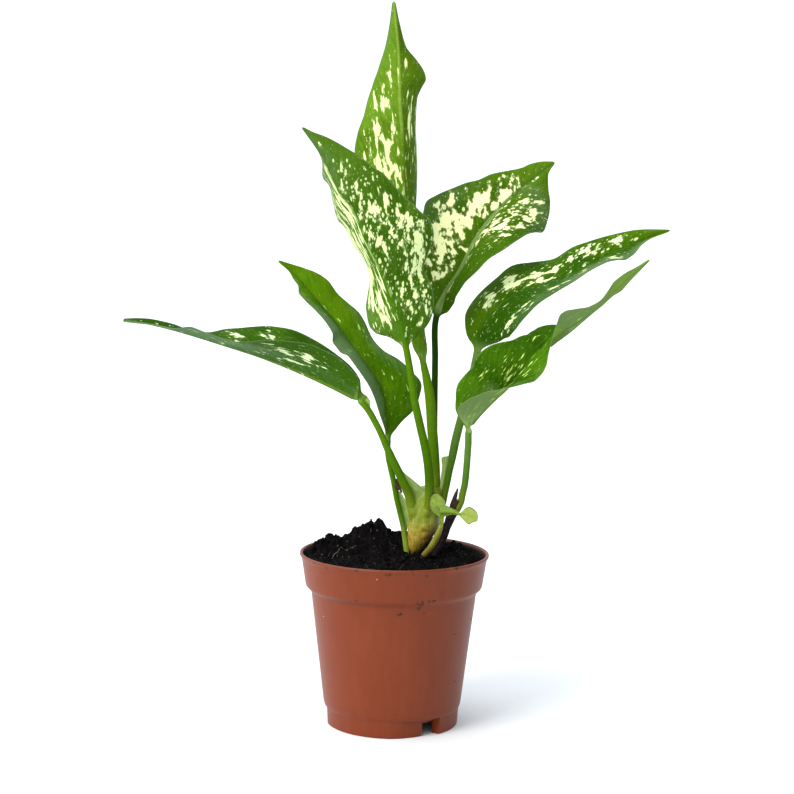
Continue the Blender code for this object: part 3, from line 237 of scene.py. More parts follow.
LEAF_LEFT = LeafShape(
    stalk=(
        (10.6, 2.6, 96), (8.8, 1, 101), (7.7, 0.5, 105.5), (6.4, 0, 110), (3.7, -1.5, 115.8),
        (0.8, -2.5, 121.7), (-3.8, -3.6, 131.3), (-7.8, -4.6, 140.3), (-10.4, -5, 145.2),
        (-13.2, -5.6, 150), (-16.4, -6, 153.8)),
    rib=(
        (-16.4, -6, 153.8), (-20, -6, 155.8), (-30, -5, 160.6), (-44, -3, 166.6), (-63, 0, 173.5),
        (-83, 4, 179.2), (-103, 8, 184.5), (-118, 11, 187.6), (-131.4, 14, 189.2)),
    halves=(
        (0, 1.5, 0, 1.5, 0), (0.015, -2, 2.5, 4, -2), (0.04, -8, 5, 8.2, -3.5),
        (0.07, -10.2, 7, 10.8, -5.5), (0.11, -12.2, 9, 13, -7), (0.17, -14, 10.5, 14.8, -8.5),
        (0.245, -14, 12, 16.4, -9), (0.34, -11.2, 14, 17.4, -9.5), (0.43, -7.4, 15, 15.6, -10.5),
        (0.5, -4.2, 15, 12.4, -11), (0.545, -3, 14, 10, -11), (0.6, -2.8, 13, 7.4, -11),
        (0.665, -3, 11, 3.4, -9), (0.71, -3.4, 9.5, 2.4, -7.5), (0.755, -1.8, 8, 2.4, -6),
        (0.8, 0, 7, 2.8, -5), (0.885, 0.2, 4, 2.6, -3), (0.95, 0.7, 2.5, 1.8, -2),
        (1, 0.8, 0, 0.8, 0)),
    stalk_radius=((0, 2.4), (0.2, 2.4), (0.35, 2.1), (0.55, 1.8), (0.75, 1.5), (1, 1.5)),
    bulge=(0.06, 0.06), ripple=(0.2, 3, 1),
    sheath=(
        (0, 0, 0), (0.06, 0, 0.6), (0.12, 0, 3.4), (0.17, 0, 4.9), (0.205, 0, 5.2), (0.25, 0, 4.1),
        (0.29, 0, 3), (0.33, 0, 1.9), (0.38, 0, 0.6), (0.41, 0, 0), (0.93, 0, 0), (0.97, 0, 1.8),
        (1, 0, 2.4)))
LEAF_SHAPES = {
    "leaf_top": LEAF_TOP, "leaf_front": LEAF_FRONT, "leaf_back_right": LEAF_BACK_RIGHT,
    "leaf_right_upper": LEAF_RIGHT_UPPER, "leaf_right_lower": LEAF_RIGHT_LOWER,
    "leaf_left_back": LEAF_LEFT_BACK, "leaf_left": LEAF_LEFT}

# Young shoot: a stalk that ends in a pale bract, and a side stalk with one small leaf
SHOOT_BRACT = LeafShape(
    stalk=(
        (12.2, -1.8, 70), (13.6, -3, 79.8), (17, -5.6, 85.2), (19.8, -7.2, 90.8),
        (21.6, -8.4, 96)),
    rib=(
        (21.6, -8.4, 96), (21.8, -9, 100), (20.8, -9.2, 104), (19.6, -9.2, 108),
        (18.8, -9.2, 111.6)),
    halves=(
        (0, 1, 0, 1, 0), (0.3, 1, 0.2, 1.2, 0.2), (0.42, 2.2, 0.4, 2, 0.4),
        (0.5, 3, 0.6, 2.8, 0.5), (0.6, 3.8, 0.8, 3.4, 0.6), (0.72, 3.8, 0.8, 3.6, 0.6),
        (0.82, 3.2, 0.6, 3, 0.5), (0.92, 2.5, 0.4, 2.2, 0.3), (1, 0.9, 0, 0.7, 0)),
    stalk_radius=((0, 1.3), (0.4, 1.6), (0.8, 1.5), (1, 1.1)), ridge=0)
SHOOT_LEAF = LeafShape(
    stalk=((21.2, -9.4, 103.6), (25.7, -10, 103.6), (28.5, -10.6, 103.1), (30.2, -11.2, 102.5)),
    rib=((30.2, -11.2, 102.5), (33, -12, 102), (36, -12.6, 101.4), (38.8, -13, 101)),
    halves=(
        (0, 0.6, 0, 0.6, 0), (0.12, 2, 0.3, 1.4, 0.3), (0.3, 4, 0.5, 2.4, 0.4),
        (0.45, 4.6, 0.6, 3.2, 0.5), (0.6, 4.3, 0.6, 3.6, 0.5), (0.75, 3.8, 0.5, 2.4, 0.4),
        (0.9, 2.6, 0.3, 1.8, 0.2), (1, 1.1, 0, 1.1, 0)),
    stalk_radius=((0, 1.6), (0.5, 1.1), (1, 0.6)),
    sheath=((0, 1.6, 1.6), (0.25, 1.4, 1.2), (0.6, 0.5, 0.4), (1, 0, 0)), ridge=0)

# Old stem: a tube of (x, y, z, radius), and its dried sheath
OLD_STEM = (
    (17.6, 6, 68, 2.2), (19, 5.6, 79, 2), (21.1, 5, 83.2, 1.9), (22.9, 4.4, 87.2, 1.8),
    (24.2, 3.4, 91.3, 1.8), (25.3, 2.4, 95, 2), (26.4, 1.4, 98.4, 2.3), (27.6, 0.4, 101.6, 2.6),
    (28.9, -0.5, 105, 2.6), (29.8, -1.2, 107.6, 2.3))
OLD_SHEATH = LeafShape(
    stalk=((25.8, -0.6, 99), (26.6, -1.4, 102.4)),
    rib=((26.6, -1.4, 102.4), (27.6, -2, 105.6), (28.4, -2.2, 109), (29.5, -2.2, 113.4)),
    halves=(
        (0, 1.2, 0, 1.2, 0), (0.3, 1.6, -0.4, 1, -0.4), (0.6, 1.2, -0.4, 0.8, -0.3),
        (0.85, 0.7, -0.2, 0.5, -0.1), (1, 0.3, 0, 0.3, 0)),
    stalk_radius=((0, 1.5), (1, 1.2)), ridge=0)

# Dry scale caught beside the back left leaf's stalk
DRY_SCALE = LeafShape(
    stalk=((2.9, 6.2, 109.4), (2.4, 6.2, 110.8)),
    rib=((2.4, 6.2, 110.8), (1.4, 5.8, 112.6), (0.8, 5.4, 114.4), (0.5, 5, 116.4)),
    halves=(
        (0, 0.6, 0, 0.6, 0), (0.25, 2, 0.3, 1.2, -0.3), (0.45, 1.8, 0.4, 1, -0.3),
        (0.75, 0.9, 0.2, 0.6, 0), (1, 0.4, 0, 0.4, 0)),
    stalk_radius=((0, 0.5), (1, 0.6)), ridge=0)

# Crown: centre x, centre y, height, half width across, half width front to back
CROWN = (
    (11.4, 3.6, 66, 2.4, 2.4), (10.8, 3.6, 74, 2.4, 2.4), (10.3, 3.6, 80.6, 2.4, 2.6),
    (10.7, 3.5, 83.9, 3.9, 4), (11.6, 3.5, 87, 5.2, 5.2), (12.4, 3.6, 90, 6.1, 6),
    (13.3, 3.8, 93, 6.9, 6.6), (14, 4, 96, 7.2, 6.9), (14.3, 4.2, 99.2, 7.1, 7),
    (15, 4.5, 103, 7, 7), (16, 4.7, 107, 6.9, 6.8), (16.7, 4.8, 110.4, 6.2, 6.2),
    (17.2, 4.8, 112.8, 4.8, 4.8))

# Heaps in the peat: x, y, height, radius
SOIL_HEAPS = (
    (-6, 24, 5, 17), (-6.6, 18, 7.8, 3.8), (-11.5, 18.5, 6.8, 4.2), (-17, 20, 4.8, 4.2),
    (-22, 22, 1.8, 6), (-25.6, 20, 2.4, 2.6), (-32, 20, 4.6, 7), (-38, 10, 5, 7),
    (-17, 14, 1.4, 6), (2, 26, 2.2, 8), (12, 30, 2, 9), (28, 22, 2.2, 12), (-32, 8, 1.4, 8),
    (0, -38, 1.2, 14), (-24, -28, 1.4, 12), (11, 3, 1.6, 7), (26, -26, 0.8, 12))




class Curve:
    """A smooth curve through given points, read by the distance along it."""

    def __init__(self, points: Sequence[Row], steps: int = 16) -> None:
        """Sample a centripetal Catmull-Rom curve.

        Args:
            points: the points that the curve passes through.
            steps: how many samples lie between two points.
        """
        knots = np.array(points, dtype=float)
        ends = np.vstack([2 * knots[0] - knots[1], knots, 2 * knots[-1] - knots[-2]])
        samples: list[np.ndarray] = []
        for index in range(len(knots) - 1):
            samples.extend(self.span(ends[index:index + 4], steps))
        samples.append(knots[-1])
        self.samples = np.array(samples)
        lengths = np.linalg.norm(np.diff(self.samples, axis=0), axis=1)
        self.distance = np.concatenate([[0.0], np.cumsum(lengths)])
        self.knots = self.distance[::steps]
        self.length = float(self.distance[-1])

    @staticmethod
    def span(corners: np.ndarray, steps: int) -> list[np.ndarray]:
        """The curve between the second and third of four corner points.

        Args:
            corners: four neighbouring points.
            steps: how many samples to take.

        Returns:
            The samples, without the third corner itself.
        """
        times = [0.0]
        for first, second in zip(corners[:-1], corners[1:]):
            times.append(times[-1] + math.sqrt(np.linalg.norm(second - first)))
        found = []
        for time in np.linspace(times[1], times[2], steps, endpoint=False):
            layer = list(corners)
            for row in (((0, 1), (1, 2), (2, 3)), ((0, 2), (1, 3)), ((1, 2),)):
                layer = [((times[high] - time) * layer[i] + (time - times[low]) * layer[i + 1])
                         / (times[high] - times[low]) for i, (low, high) in enumerate(row)]
            found.append(layer[0])
        return found

    def at(self, distance: float) -> np.ndarray:
        """The point at a distance along the curve."""
        return np.array([np.interp(distance, self.distance, column) for column in self.samples.T])

    def direction(self, distance: float, reach: float = 1.5) -> np.ndarray:
        """The unit direction of the curve at a distance, taken over a short reach."""
        ahead = self.at(min(distance + reach, self.length))
        behind = self.at(max(distance - reach, 0.0))
        return (ahead - behind) / np.linalg.norm(ahead - behind)


def read_rows(rows: Sequence[Row], share: float) -> np.ndarray:
    """Values between the rows of a table, smooth and without overshoot.

    Args:
        rows: the table; its first column is the share, in rising order.
        share: where to read it.

    Returns:
        The other columns' values there.
    """
    table = np.array(rows, dtype=float)
    keys, values = table[:, 0], table[:, 1:]
    if share <= keys[0]:
        return values[0]
    if share >= keys[-1]:
        return values[-1]
    index = int(np.searchsorted(keys, share)) - 1
    steps = np.diff(keys)
    secants = np.diff(values, axis=0) / steps[:, None]

    def slope(at: int) -> np.ndarray:
        """The curve's slope at a row, level where the values turn.

        Args:
            at: the row's number.

        Returns:
            One slope for each column.
        """
        if at in (0, len(keys) - 1):
            return secants[0 if at == 0 else -1]
        before, after = secants[at - 1], secants[at]
        same = before * after > 0
        return np.where(same, 2 * before * after / np.where(same, before + after, 1.0), 0.0)

    step = steps[index]
    part = (share - keys[index]) / step
    return ((1 + 2 * part) * (1 - part) ** 2 * values[index]
            + part * (1 - part) ** 2 * step * slope(index)
            + part ** 2 * (3 - 2 * part) * values[index + 1]
            + part ** 2 * (part - 1) * step * slope(index + 1))


def ease(value: float) -> float:
    """Smooth step from 0 to 1."""
    clamped = min(max(value, 0.0), 1.0)
    return clamped * clamped * (3 - 2 * clamped)


def section_axes(direction: np.ndarray) -> tuple[np.ndarray, np.ndarray]:
    """The axes across and forward of a curve that runs in a direction.

    Args:
        direction: the curve's unit direction.

    Returns:
        The two unit axes.
    """
    front = np.array([0.0, -1.0, 0.0])
    forward = front - direction * np.dot(front, direction)
    forward /= np.linalg.norm(forward)
    return np.cross(direction, forward), forward


def turn_angles(count: int) -> np.ndarray:
    """Angles in radians once round, the last one the first again so that a seam closes."""
    angles = np.linspace(0.0, 2 * math.pi, count)
    angles[-1] = 0.0
    return angles


def around(radius: float, angle: float) -> tuple[float, float]:
    """x and y at a radius and an angle in degrees, from the front towards +X."""
    return radius * math.sin(math.radians(angle)), -radius * math.cos(math.radians(angle))


def deselect_all() -> None:
    """Leave object mode with nothing selected and nothing active."""
    if bpy.context.object and bpy.context.object.mode != "OBJECT":
        bpy.ops.object.mode_set(mode="OBJECT")
    bpy.ops.object.select_all(action="DESELECT")
    bpy.context.view_layer.objects.active = None


def pick(item: Item) -> None:
    """Make an object the only selected one, and the active one."""
    deselect_all()
    item.select_set(True)
    bpy.context.view_layer.objects.active = item


@contextmanager
def editing(item: Item, action: str = "SELECT") -> Iterator[None]:
    """Edit mode on one object, with all of it or nothing of it selected first.

    Args:
        item: the object.
        action: what the selection is set to.
    """
    pick(item)
    bpy.ops.object.mode_set(mode="EDIT")
    bpy.ops.mesh.select_all(action=action)
    yield
    bpy.ops.object.mode_set(mode="OBJECT")


def close_up(item: Item) -> None:
    """Merge points that lie together, and turn all faces outward."""
    with editing(item):
        bpy.ops.mesh.remove_doubles(threshold=1e-6)
        bpy.ops.mesh.normals_make_consistent(inside=False)


def coordinates(item: Item) -> np.ndarray:
    """The object's vertices, one row each."""
    flat = np.zeros(len(item.data.vertices) * 3)
    item.data.vertices.foreach_get("co", flat)
    return flat.reshape(-1, 3)


def place_vertices(item: Item, points: np.ndarray) -> None:
    """Move every vertex of an object to its row of points."""
    item.data.vertices.foreach_set("co", np.ascontiguousarray(points, dtype=np.float32).ravel())
    item.data.update()


def name_piece(item: Item, name: str) -> None:
    """Give an object and its mesh their name."""
    item.name = name
    item.data.name = name


def smooth(item: Item, angle: float) -> None:
    """Smooth shading, with edges sharper than the angle in degrees left crisp."""
    pick(item)
    bpy.ops.object.shade_smooth_by_angle(angle=math.radians(angle))


def cut(item: Item, tool: Item) -> None:
    """Cut one body out of another with a Boolean modifier, and remove the tool.

    Args:
        item: the body that is cut.
        tool: the body that is taken out of it.
    """
    pick(item)
    modifier = item.modifiers.new("Cut", "BOOLEAN")
    modifier.operation = "DIFFERENCE"
    modifier.solver = "EXACT"
    modifier.object = tool
    bpy.ops.object.modifier_apply(modifier=modifier.name)
    bpy.data.objects.remove(tool, do_unlink=True)


def join_pieces(items: Sequence[Item], name: str) -> Item:
    """Join several objects into one and name it.

    Args:
        items: the objects; the first takes in the others.
        name: the name of the joined piece.

    Returns:
        The joined object.
    """
    pick(items[0])
    for item in items[1:]:
        item.select_set(True)
    if len(items) > 1:
        bpy.ops.object.join()
    name_piece(items[0], name)
    return items[0]


def roll_grid(name: str, points: np.ndarray, **attributes: np.ndarray) -> Item:
    """A closed round or flattened body: a grid primitive rolled into a sleeve.

    Args:
        name: the piece's name.
        points: stations by columns by three, in millimetres. The first and last
            columns are one line, and the first and last stations are one point each.
        **attributes: arrays of the same form that go onto the mesh as vectors.

    Returns:
        The closed object, its seam and its two poles merged.
    """
    stations, columns = points.shape[:2]
    deselect_all()
    bpy.ops.mesh.primitive_grid_add(x_subdivisions=columns - 1, y_subdivisions=stations - 1,
                                    size=1.0, location=(0.0, 0.0, 0.0))
    piece = bpy.context.object
    name_piece(piece, name)
    flat = coordinates(piece)
    column = np.rint((flat[:, 0] + 0.5) * (columns - 1)).astype(int)
    station = np.rint((flat[:, 1] + 0.5) * (stations - 1)).astype(int)
    place_vertices(piece, points[station, column] * MM)
    for key, values in attributes.items():
        layer = piece.data.attributes.new(key, "FLOAT_VECTOR", "POINT")
        layer.data.foreach_set("vector", values[station, column].astype(np.float32).ravel())
    close_up(piece)
    return piece


def surface_normals(grid: np.ndarray) -> np.ndarray:
    """Unit normals of a grid of points, facing the front where it lies flat."""
    normals = np.cross(np.gradient(grid, axis=1), np.gradient(grid, axis=0))
    return normals / np.maximum(np.linalg.norm(normals, axis=2, keepdims=True), 1e-9)


def make_crumb(centre: Row, size: float, seed: int) -> Item:
    """A small uneven crumb, from an icosphere primitive.

    Args:
        centre: its middle, in millimetres.
        size: its half size, in millimetres.
        seed: what makes it different from the others.

    Returns:
        The crumb.
    """
    deselect_all()
    bpy.ops.mesh.primitive_ico_sphere_add(subdivisions=2, radius=1.0, location=(0.0, 0.0, 0.0))
    crumb = bpy.context.object
    draw = random.Random(seed)
    stretch = np.array([draw.uniform(0.7, 1.2) for _ in range(3)])
    shift = Vector([draw.uniform(-50, 50) for _ in range(3)])
    points = []
    for row in coordinates(crumb):
        swell = 1 + 0.38 * noise.noise(Vector(row) * 1.3 + shift)
        points.append(row * swell * stretch * size + np.array(centre))
    place_vertices(crumb, np.array(points) * MM)
    return crumb


def hand_over(piece: Item, material: Material,
              node: str = "") -> None:
    """Give a piece its material, its body and its slot, and hide the CAD node that it replaces.

    Args:
        piece: the finished piece.
        material: its only material.
        node: the CAD node that it replaces, if it replaces one.
    """
    piece.data.materials.clear()
    piece.data.materials.append(material)
    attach(piece, BODY)
    if node:
        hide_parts(node)
    LOG.info("%s: %d faces", piece.name, len(piece.data.polygons))


class Nodes:
    """A node tree while it is put together."""

    def __init__(self, tree: bpy.types.NodeTree) -> None:
        """Keep the tree that the nodes go into."""
        self.tree = tree

    def feed(self, socket: Socket, value: Source) -> None:
        """Link a socket to another one, or set it to a plain value.

        Args:
            socket: the socket.
            value: what feeds it.
        """
        if isinstance(value, Socket):
            self.tree.links.new(value, socket)
        elif isinstance(value, tuple) and socket.type == "RGBA":
            socket.default_value = (*value[:3], 1.0)
        else:
            socket.default_value = value

    def add(self, kind: str, values: dict[int | str, Source], **settings: object) -> bpy.types.Node:
        """Add one node.

        Args:
            kind: the node's type, without the words before it.
            values: what feeds its inputs, by their number or name.
            **settings: the node's own settings.

        Returns:
            The node.
        """
        node = self.tree.nodes.new("ShaderNode" + kind)
        for key, value in settings.items():
            setattr(node, key, value)
        for key, value in values.items():
            self.feed(node.inputs[key], value)
        return node

    def math(self, operation: str, *values: Source) -> Socket:
        """One sum or other operation on up to three values."""
        return self.add("Math", dict(enumerate(values)), operation=operation).outputs[0]

    def plus(self, first: Source, second: Source) -> Socket:
        """Two values added."""
        return self.math("ADD", first, second)

    def times(self, first: Source, second: Source) -> Socket:
        """Two values multiplied."""
        return self.math("MULTIPLY", first, second)

    def line(self, value: Source, slope: Source, start: Source) -> Socket:
        """A value multiplied by a slope and added to a start."""
        return self.math("MULTIPLY_ADD", value, slope, start)

    def size(self, value: Source) -> Socket:
        """A value without its sign."""
        return self.math("ABSOLUTE", value)

    def mix(self, share: Source, first: Source, second: Source) -> Socket:
        """The first colour turning into the second as share goes from 0 to 1."""
        values = {0: share, 6: first, 7: second}
        return self.add("Mix", values, data_type="RGBA").outputs[2]

    def band(self, value: Source, low: float, high: float, first: Source = 0,
             last: Source = 1) -> Socket:
        """A smooth step of a value, from first at low to last at high."""
        ends = {"From Min": low, "From Max": high, "To Min": first, "To Max": last}
        node = self.add("MapRange", {"Value": value, **ends}, interpolation_type="SMOOTHSTEP")
        return node.outputs["Result"]

    def combine(self, x: Source, y: Source, z: Source = 0) -> Socket:
        """A vector from three values."""
        return self.add("CombineXYZ", {0: x, 1: y, 2: z}).outputs[0]

    def split(self, vector: Source) -> list[Socket]:
        """The three values of a vector."""
        return list(self.add("SeparateXYZ", {0: vector}).outputs)


class Recipe(Nodes):
    """A node material while it is put together."""

    def __init__(self, name: str, roughness: float, specular: float = 0.3) -> None:
        """Start a material with one Principled shader.

        Args:
            name: the material's name.
            roughness: the shader's roughness where nothing else feeds it.
            specular: the shader's specular level.
        """
        self.material = bpy.data.materials.new(name)
        self.material.use_nodes = True
        super().__init__(self.material.node_tree)
        self.shader = self.tree.nodes["Principled BSDF"]
        self.shader.inputs["Roughness"].default_value = roughness
        self.shader.inputs["Specular IOR Level"].default_value = specular

    def attribute(self, patch: Patch) -> list[Socket]:
        """The three values of one of the piece's own attributes."""
        node = self.add("Attribute", {}, attribute_name=patch.value)
        return self.split(node.outputs["Vector"])

    def place(self) -> Socket:
        """The point on the object, in its own coordinates."""
        return self.add("TexCoord", {}).outputs["Object"]

    def noise(self, vector: Source, scale: float, detail: float = 3,
              rough: float = 0.5) -> Socket:
        """Smooth noise between 0 and 1."""
        values = {"Vector": vector, "Scale": scale, "Detail": detail, "Roughness": rough}
        return self.add("TexNoise", values).outputs[0]

    def fibres(self, across: float, along: float, detail: float, rough: float) -> Socket:
        """Noise drawn out into upright fibres.

        Args:
            across: the noise's scale across the fibres.
            along: its scale up the object.
            detail: how many finer layers it has.
            rough: how strong those are.

        Returns:
            The noise, between 0 and 1.
        """
        x, y, z = self.split(self.place())
        drawn = self.combine(self.times(x, across), self.times(y, across), self.times(z, along))
        return self.noise(drawn, 1, detail, rough)

    def cells(self, vector: Source, scale: float, dimensions: str = "3D") -> tuple:
        """Scattered cells: the distance to the nearest one's centre, and its random colour."""
        node = self.add("TexVoronoi", {"Vector": vector, "Scale": scale},
                        voronoi_dimensions=dimensions)
        return node.outputs["Distance"], node.outputs["Color"]

    def scale(self, colour: Source, share: Source) -> Socket:
        """A colour multiplied by a share."""
        return self.add("VectorMath", {0: colour, "Scale": share}, operation="SCALE").outputs[0]

    def bump(self, height: Source, strength: float, depth: float) -> None:
        """Raise the surface by a height, in the shader only."""
        node = self.add("Bump", {"Height": height, "Strength": strength, "Distance": depth})
        self.tree.links.new(node.outputs[0], self.shader.inputs["Normal"])

    def finish(self, colour: Source, roughness: Source | None = None,
               share: Source = DIM) -> Material:
        """Feed the shader and return the material.

        Args:
            colour: the colour under a light of strength 1.
            roughness: the roughness, where it varies.
            share: what the colour is taken down by, for the studio's stronger light.
        """
        self.feed(self.shader.inputs["Base Color"], self.scale(colour, share))
        if roughness is not None:
            self.feed(self.shader.inputs["Roughness"], roughness)
        return self.material


@dataclass(frozen=True)
class GrainFinish:
    """Two colours in one fine grain, for small dry things.

    The second colour comes in by the grain's own value, or by a step between edges.
    """

    dark: Colour
    light: Colour
    scale: float
    detail: float = 3
    rough: float = 0.5
    edges: Row = ()
    roughness: float = 0.85

    def material(self, name: str) -> Material:
        """The two colours, mixed by noise.

        Args:
            name: the material's name.

        Returns:
            The material.
        """
        recipe = Recipe(name, self.roughness)
        share = recipe.noise(recipe.place(), self.scale, self.detail, self.rough)
        if self.edges:
            share = recipe.band(share, *self.edges)
        return recipe.finish(recipe.mix(share, self.dark, self.light))


@dataclass(frozen=True)
class LeafFinish:
    """The colours and markings of one leaf, in linear red, green and blue.

    marks rows give how densely the cream blotches lie at a share of the rib: left
    outer, left inner, right inner and right outer. clusters add a clump each: its
    share of the rib, its share of the half's width, its reach along and across in
    millimetres and its weight. fresh_and_lit rows give how much of the lighter green
    shows on the left and right half: partly the leaf's own lighter green, partly painted
    light, as the half that faces the light is given more of it. dull rows give how much
    of the grey green shows, from left outer to right outer: partly the leaf's own grey
    tone, partly painted sheen where a blade is seen at a grazing angle. grey also paints
    a thin highlight along the margins. spot and lean are a blotch's length, width and
    angle from the rib, first on the left half, then on the right. rib holds the rib's
    colours low and high, behind is the face turned away from the front, and foot gives
    the heights between which the stalk's foot takes its own colour, and how much of it.
    """

    deep: Colour
    light: Colour
    cream: Colour
    grey: Colour
    behind: Colour
    rib: tuple[Colour, Colour]
    stalk: tuple[Colour, Colour]
    marks: tuple[Row, ...]
    clusters: tuple[Row, ...]
    fresh_and_lit: tuple[Row, ...]
    dull: tuple[Row, ...]
    spot: Row
    lean: Row
    seed: float
    dots: float
    margin: float = 0.5
    full: float = FULL_DENSITY
    rib_width: float = 1.1
    rib_share: float = 0.9
    rib_turn: Row = (0.60, 0.72)
    foot: Row = (0.098, 0.120, 0.9)
    foot_colour: Colour = (0.21, 0.27, 0.018)
    roughness: float = 0.5

    # The same on every leaf: how far the halves' patterns lie apart, and the pale film's colours
    APART = 17.3
    FILM = ((0.24, 0.38, 0.05), (0.60, 0.74, 0.31))

    def blotch_place(self, recipe: Recipe, along: Source, across: Source) -> Socket:
        """Coordinates in which each half's blotches are round and of size 1.

        Args:
            recipe: the material.
            along: distance along the rib.
            across: signed distance from the rib.

        Returns:
            The coordinates, far apart for the two halves.
        """
        outward = recipe.size(across)
        side = recipe.math("SIGN", across)
        factors = []
        for angle, (length, width) in zip(self.lean, (self.spot[:2], self.spot[2:])):
            cosine, sine = math.cos(math.radians(angle)), math.sin(math.radians(angle))
            factors.append((cosine / length, sine / length, -sine / width, cosine / width))
        steps = [recipe.line(side, (right - left) / 2, (right + left) / 2)
                 for left, right in zip(*factors)]
        down = recipe.line(along, steps[0], recipe.times(outward, steps[1]))
        wide = recipe.line(along, steps[2], recipe.times(outward, steps[3]))
        return recipe.combine(recipe.line(side, self.APART + self.seed, down), wide, self.seed)

    def blotches(self, recipe: Recipe, place: Source, density: Source) -> tuple:
        """The ragged blotches and the small dots between them.

        Args:
            recipe: the material.
            place: the blotches' coordinates.
            density: how likely a blotch is.

        Returns:
            How deep inside a blotch, and inside a dot, a point lies: above 0 inside.
        """
        cloud = recipe.noise(place, 1.15, 3.5, 0.52)
        level = recipe.line(density, 2, -1.25)
        inside = recipe.line(recipe.math("SUBTRACT", cloud, 0.5), 6.5, level)
        distance, colour = recipe.cells(place, 2.3, "2D")
        chosen, swell, _ = recipe.split(colour)
        chance = recipe.math("SUBTRACT", recipe.times(density, self.dots), chosen)
        radius = recipe.times(recipe.line(swell, 0.24, 0.20), recipe.band(chance, -0.02, 0.20))
        torn = recipe.line(cloud, 0.9, -0.45)
        return inside, recipe.math("SUBTRACT", radius, recipe.plus(distance, torn))

    def stem(self, recipe: Recipe, share: Source, side: Source, along: Source,
             pale: Source) -> Socket:
        """The stalk's colour: its own at the foot, painted shade on its right side, and a pale lined
        film on its thin wings.

        Args:
            recipe: the material.
            share: share of the stalk's length, from -1 at its foot to 0.
            side: share of the half width, negative on the left.
            along: distance along the stalk.
            pale: how thin and pale it is.

        Returns:
            The colour.
        """
        stem = recipe.mix(recipe.band(share, -1, 0), *self.stalk)
        # Painted shade: the stalk's right side, away from the light, is taken halfway to its darker
        # colour
        stem = recipe.mix(recipe.band(side, 0.15, 0.95, 0, 0.5), stem, self.stalk[0])
        low, high, most = self.foot
        base = recipe.band(recipe.split(recipe.place())[2], low, high, most, 0)
        stem = recipe.mix(base, stem, self.foot_colour)
        lines = recipe.noise(recipe.combine(recipe.times(along, 0.006), side), 26, 3, 0.6)
        return recipe.mix(pale, stem, recipe.mix(recipe.band(lines, 0.34, 0.70), *self.FILM))

    def material(self, name: str) -> Material:
        """The leaf's material: green lamina, blotches, rib, margins and stalk.

        Args:
            name: the material's name.

        Returns:
            The material.
        """
        recipe = Recipe(name, self.roughness, 0.012)
        along, across, face = recipe.attribute(Patch.BLADE)
        share, side, density = recipe.attribute(Patch.PLACE)
        stalk, fresh_and_lit, pale = recipe.attribute(Patch.TINT)
        outward = recipe.size(across)
        slanted = recipe.line(outward, -1.5, along)
        vein = recipe.line(recipe.times(outward, outward), -0.012, slanted)
        flat = recipe.combine(along, across, self.seed)
        cloud = recipe.noise(flat, 0.07, 3, 0.55)
        grain = recipe.noise(flat, 1.6, 4, 0.6)
        patch = recipe.noise(recipe.combine(vein, across, self.seed), 0.3, 3, 0.6)
        # Painted light: the lighter green is partly the leaf's own tone and partly laid on the half of
        # a blade that faces the light
        lighter = recipe.plus(fresh_and_lit, recipe.line(cloud, 1.5, -0.75))
        lighter = recipe.plus(lighter, recipe.line(patch, 1.1, -0.55))
        green = recipe.mix(recipe.band(lighter, 0, 1), self.deep, self.light)
        ground = recipe.mix(recipe.band(face, -0.2, 0.2, 1, 0), green, self.behind)
        # Painted sheen: the grey green is partly the leaf's own grey tone and partly the sheen of a
        # blade seen at a grazing angle; blotches fade under it
        hazy = recipe.plus(pale, recipe.line(patch, 0.5, -0.25))
        ground = recipe.mix(recipe.band(hazy, 0.15, 0.85, 0, 0.95), ground, self.grey)

        inside, dots = self.blotches(recipe, self.blotch_place(recipe, along, across), density)
        near = recipe.math("MAXIMUM", inside, recipe.times(dots, 4))
        bright = recipe.mix(0.5, self.light, self.cream)
        ground = recipe.mix(recipe.band(near, -0.40, 0.12, 0, 0.30), ground, bright)
        filled = recipe.math("MAXIMUM", recipe.band(inside, -0.04, 0.30),
                             recipe.band(dots, -0.02, 0.09, 0, 0.72))
        veil = recipe.times(filled, recipe.band(hazy, 0.2, 1, 0.97, 0.62))
        blade = recipe.mix(veil, ground, self.cream)

        width = recipe.band(share, 0, 1, self.rib_width, self.rib_width * 0.3)
        near_rib = recipe.math("SUBTRACT", outward, width)
        rib = recipe.mix(recipe.band(share, *self.rib_turn), *self.rib)
        blade = recipe.mix(recipe.band(near_rib, -0.3, 0.45, self.rib_share, 0), blade, rib)
        # Painted highlight: a thin pale line of grey green along the margins, where they catch the
        # light
        edge = recipe.band(recipe.size(side), 0.955, 0.995, 0, 0.6)
        blade = recipe.mix(edge, blade, self.grey)
        whole = recipe.mix(stalk, blade, self.stem(recipe, share, side, along, pale))

        ribs = recipe.math("SINE", recipe.times(recipe.line(patch, 7, vein), 1.05))
        tone = recipe.line(ribs, recipe.band(filled, 0, 1, 0.03, 0.006), 1)
        tone = recipe.times(tone, recipe.line(grain, 0.5, 0.75))
        recipe.bump(recipe.line(ribs, 0.3, grain), 0.25, 0.0004)
        rough = recipe.line(grain, 0.2, self.roughness - 0.1)
        blotched = recipe.times(veil, recipe.math("SUBTRACT", 1, stalk))
        return recipe.finish(recipe.scale(whole, tone), rough, recipe.band(blotched, 0, 1, DIM, 1))


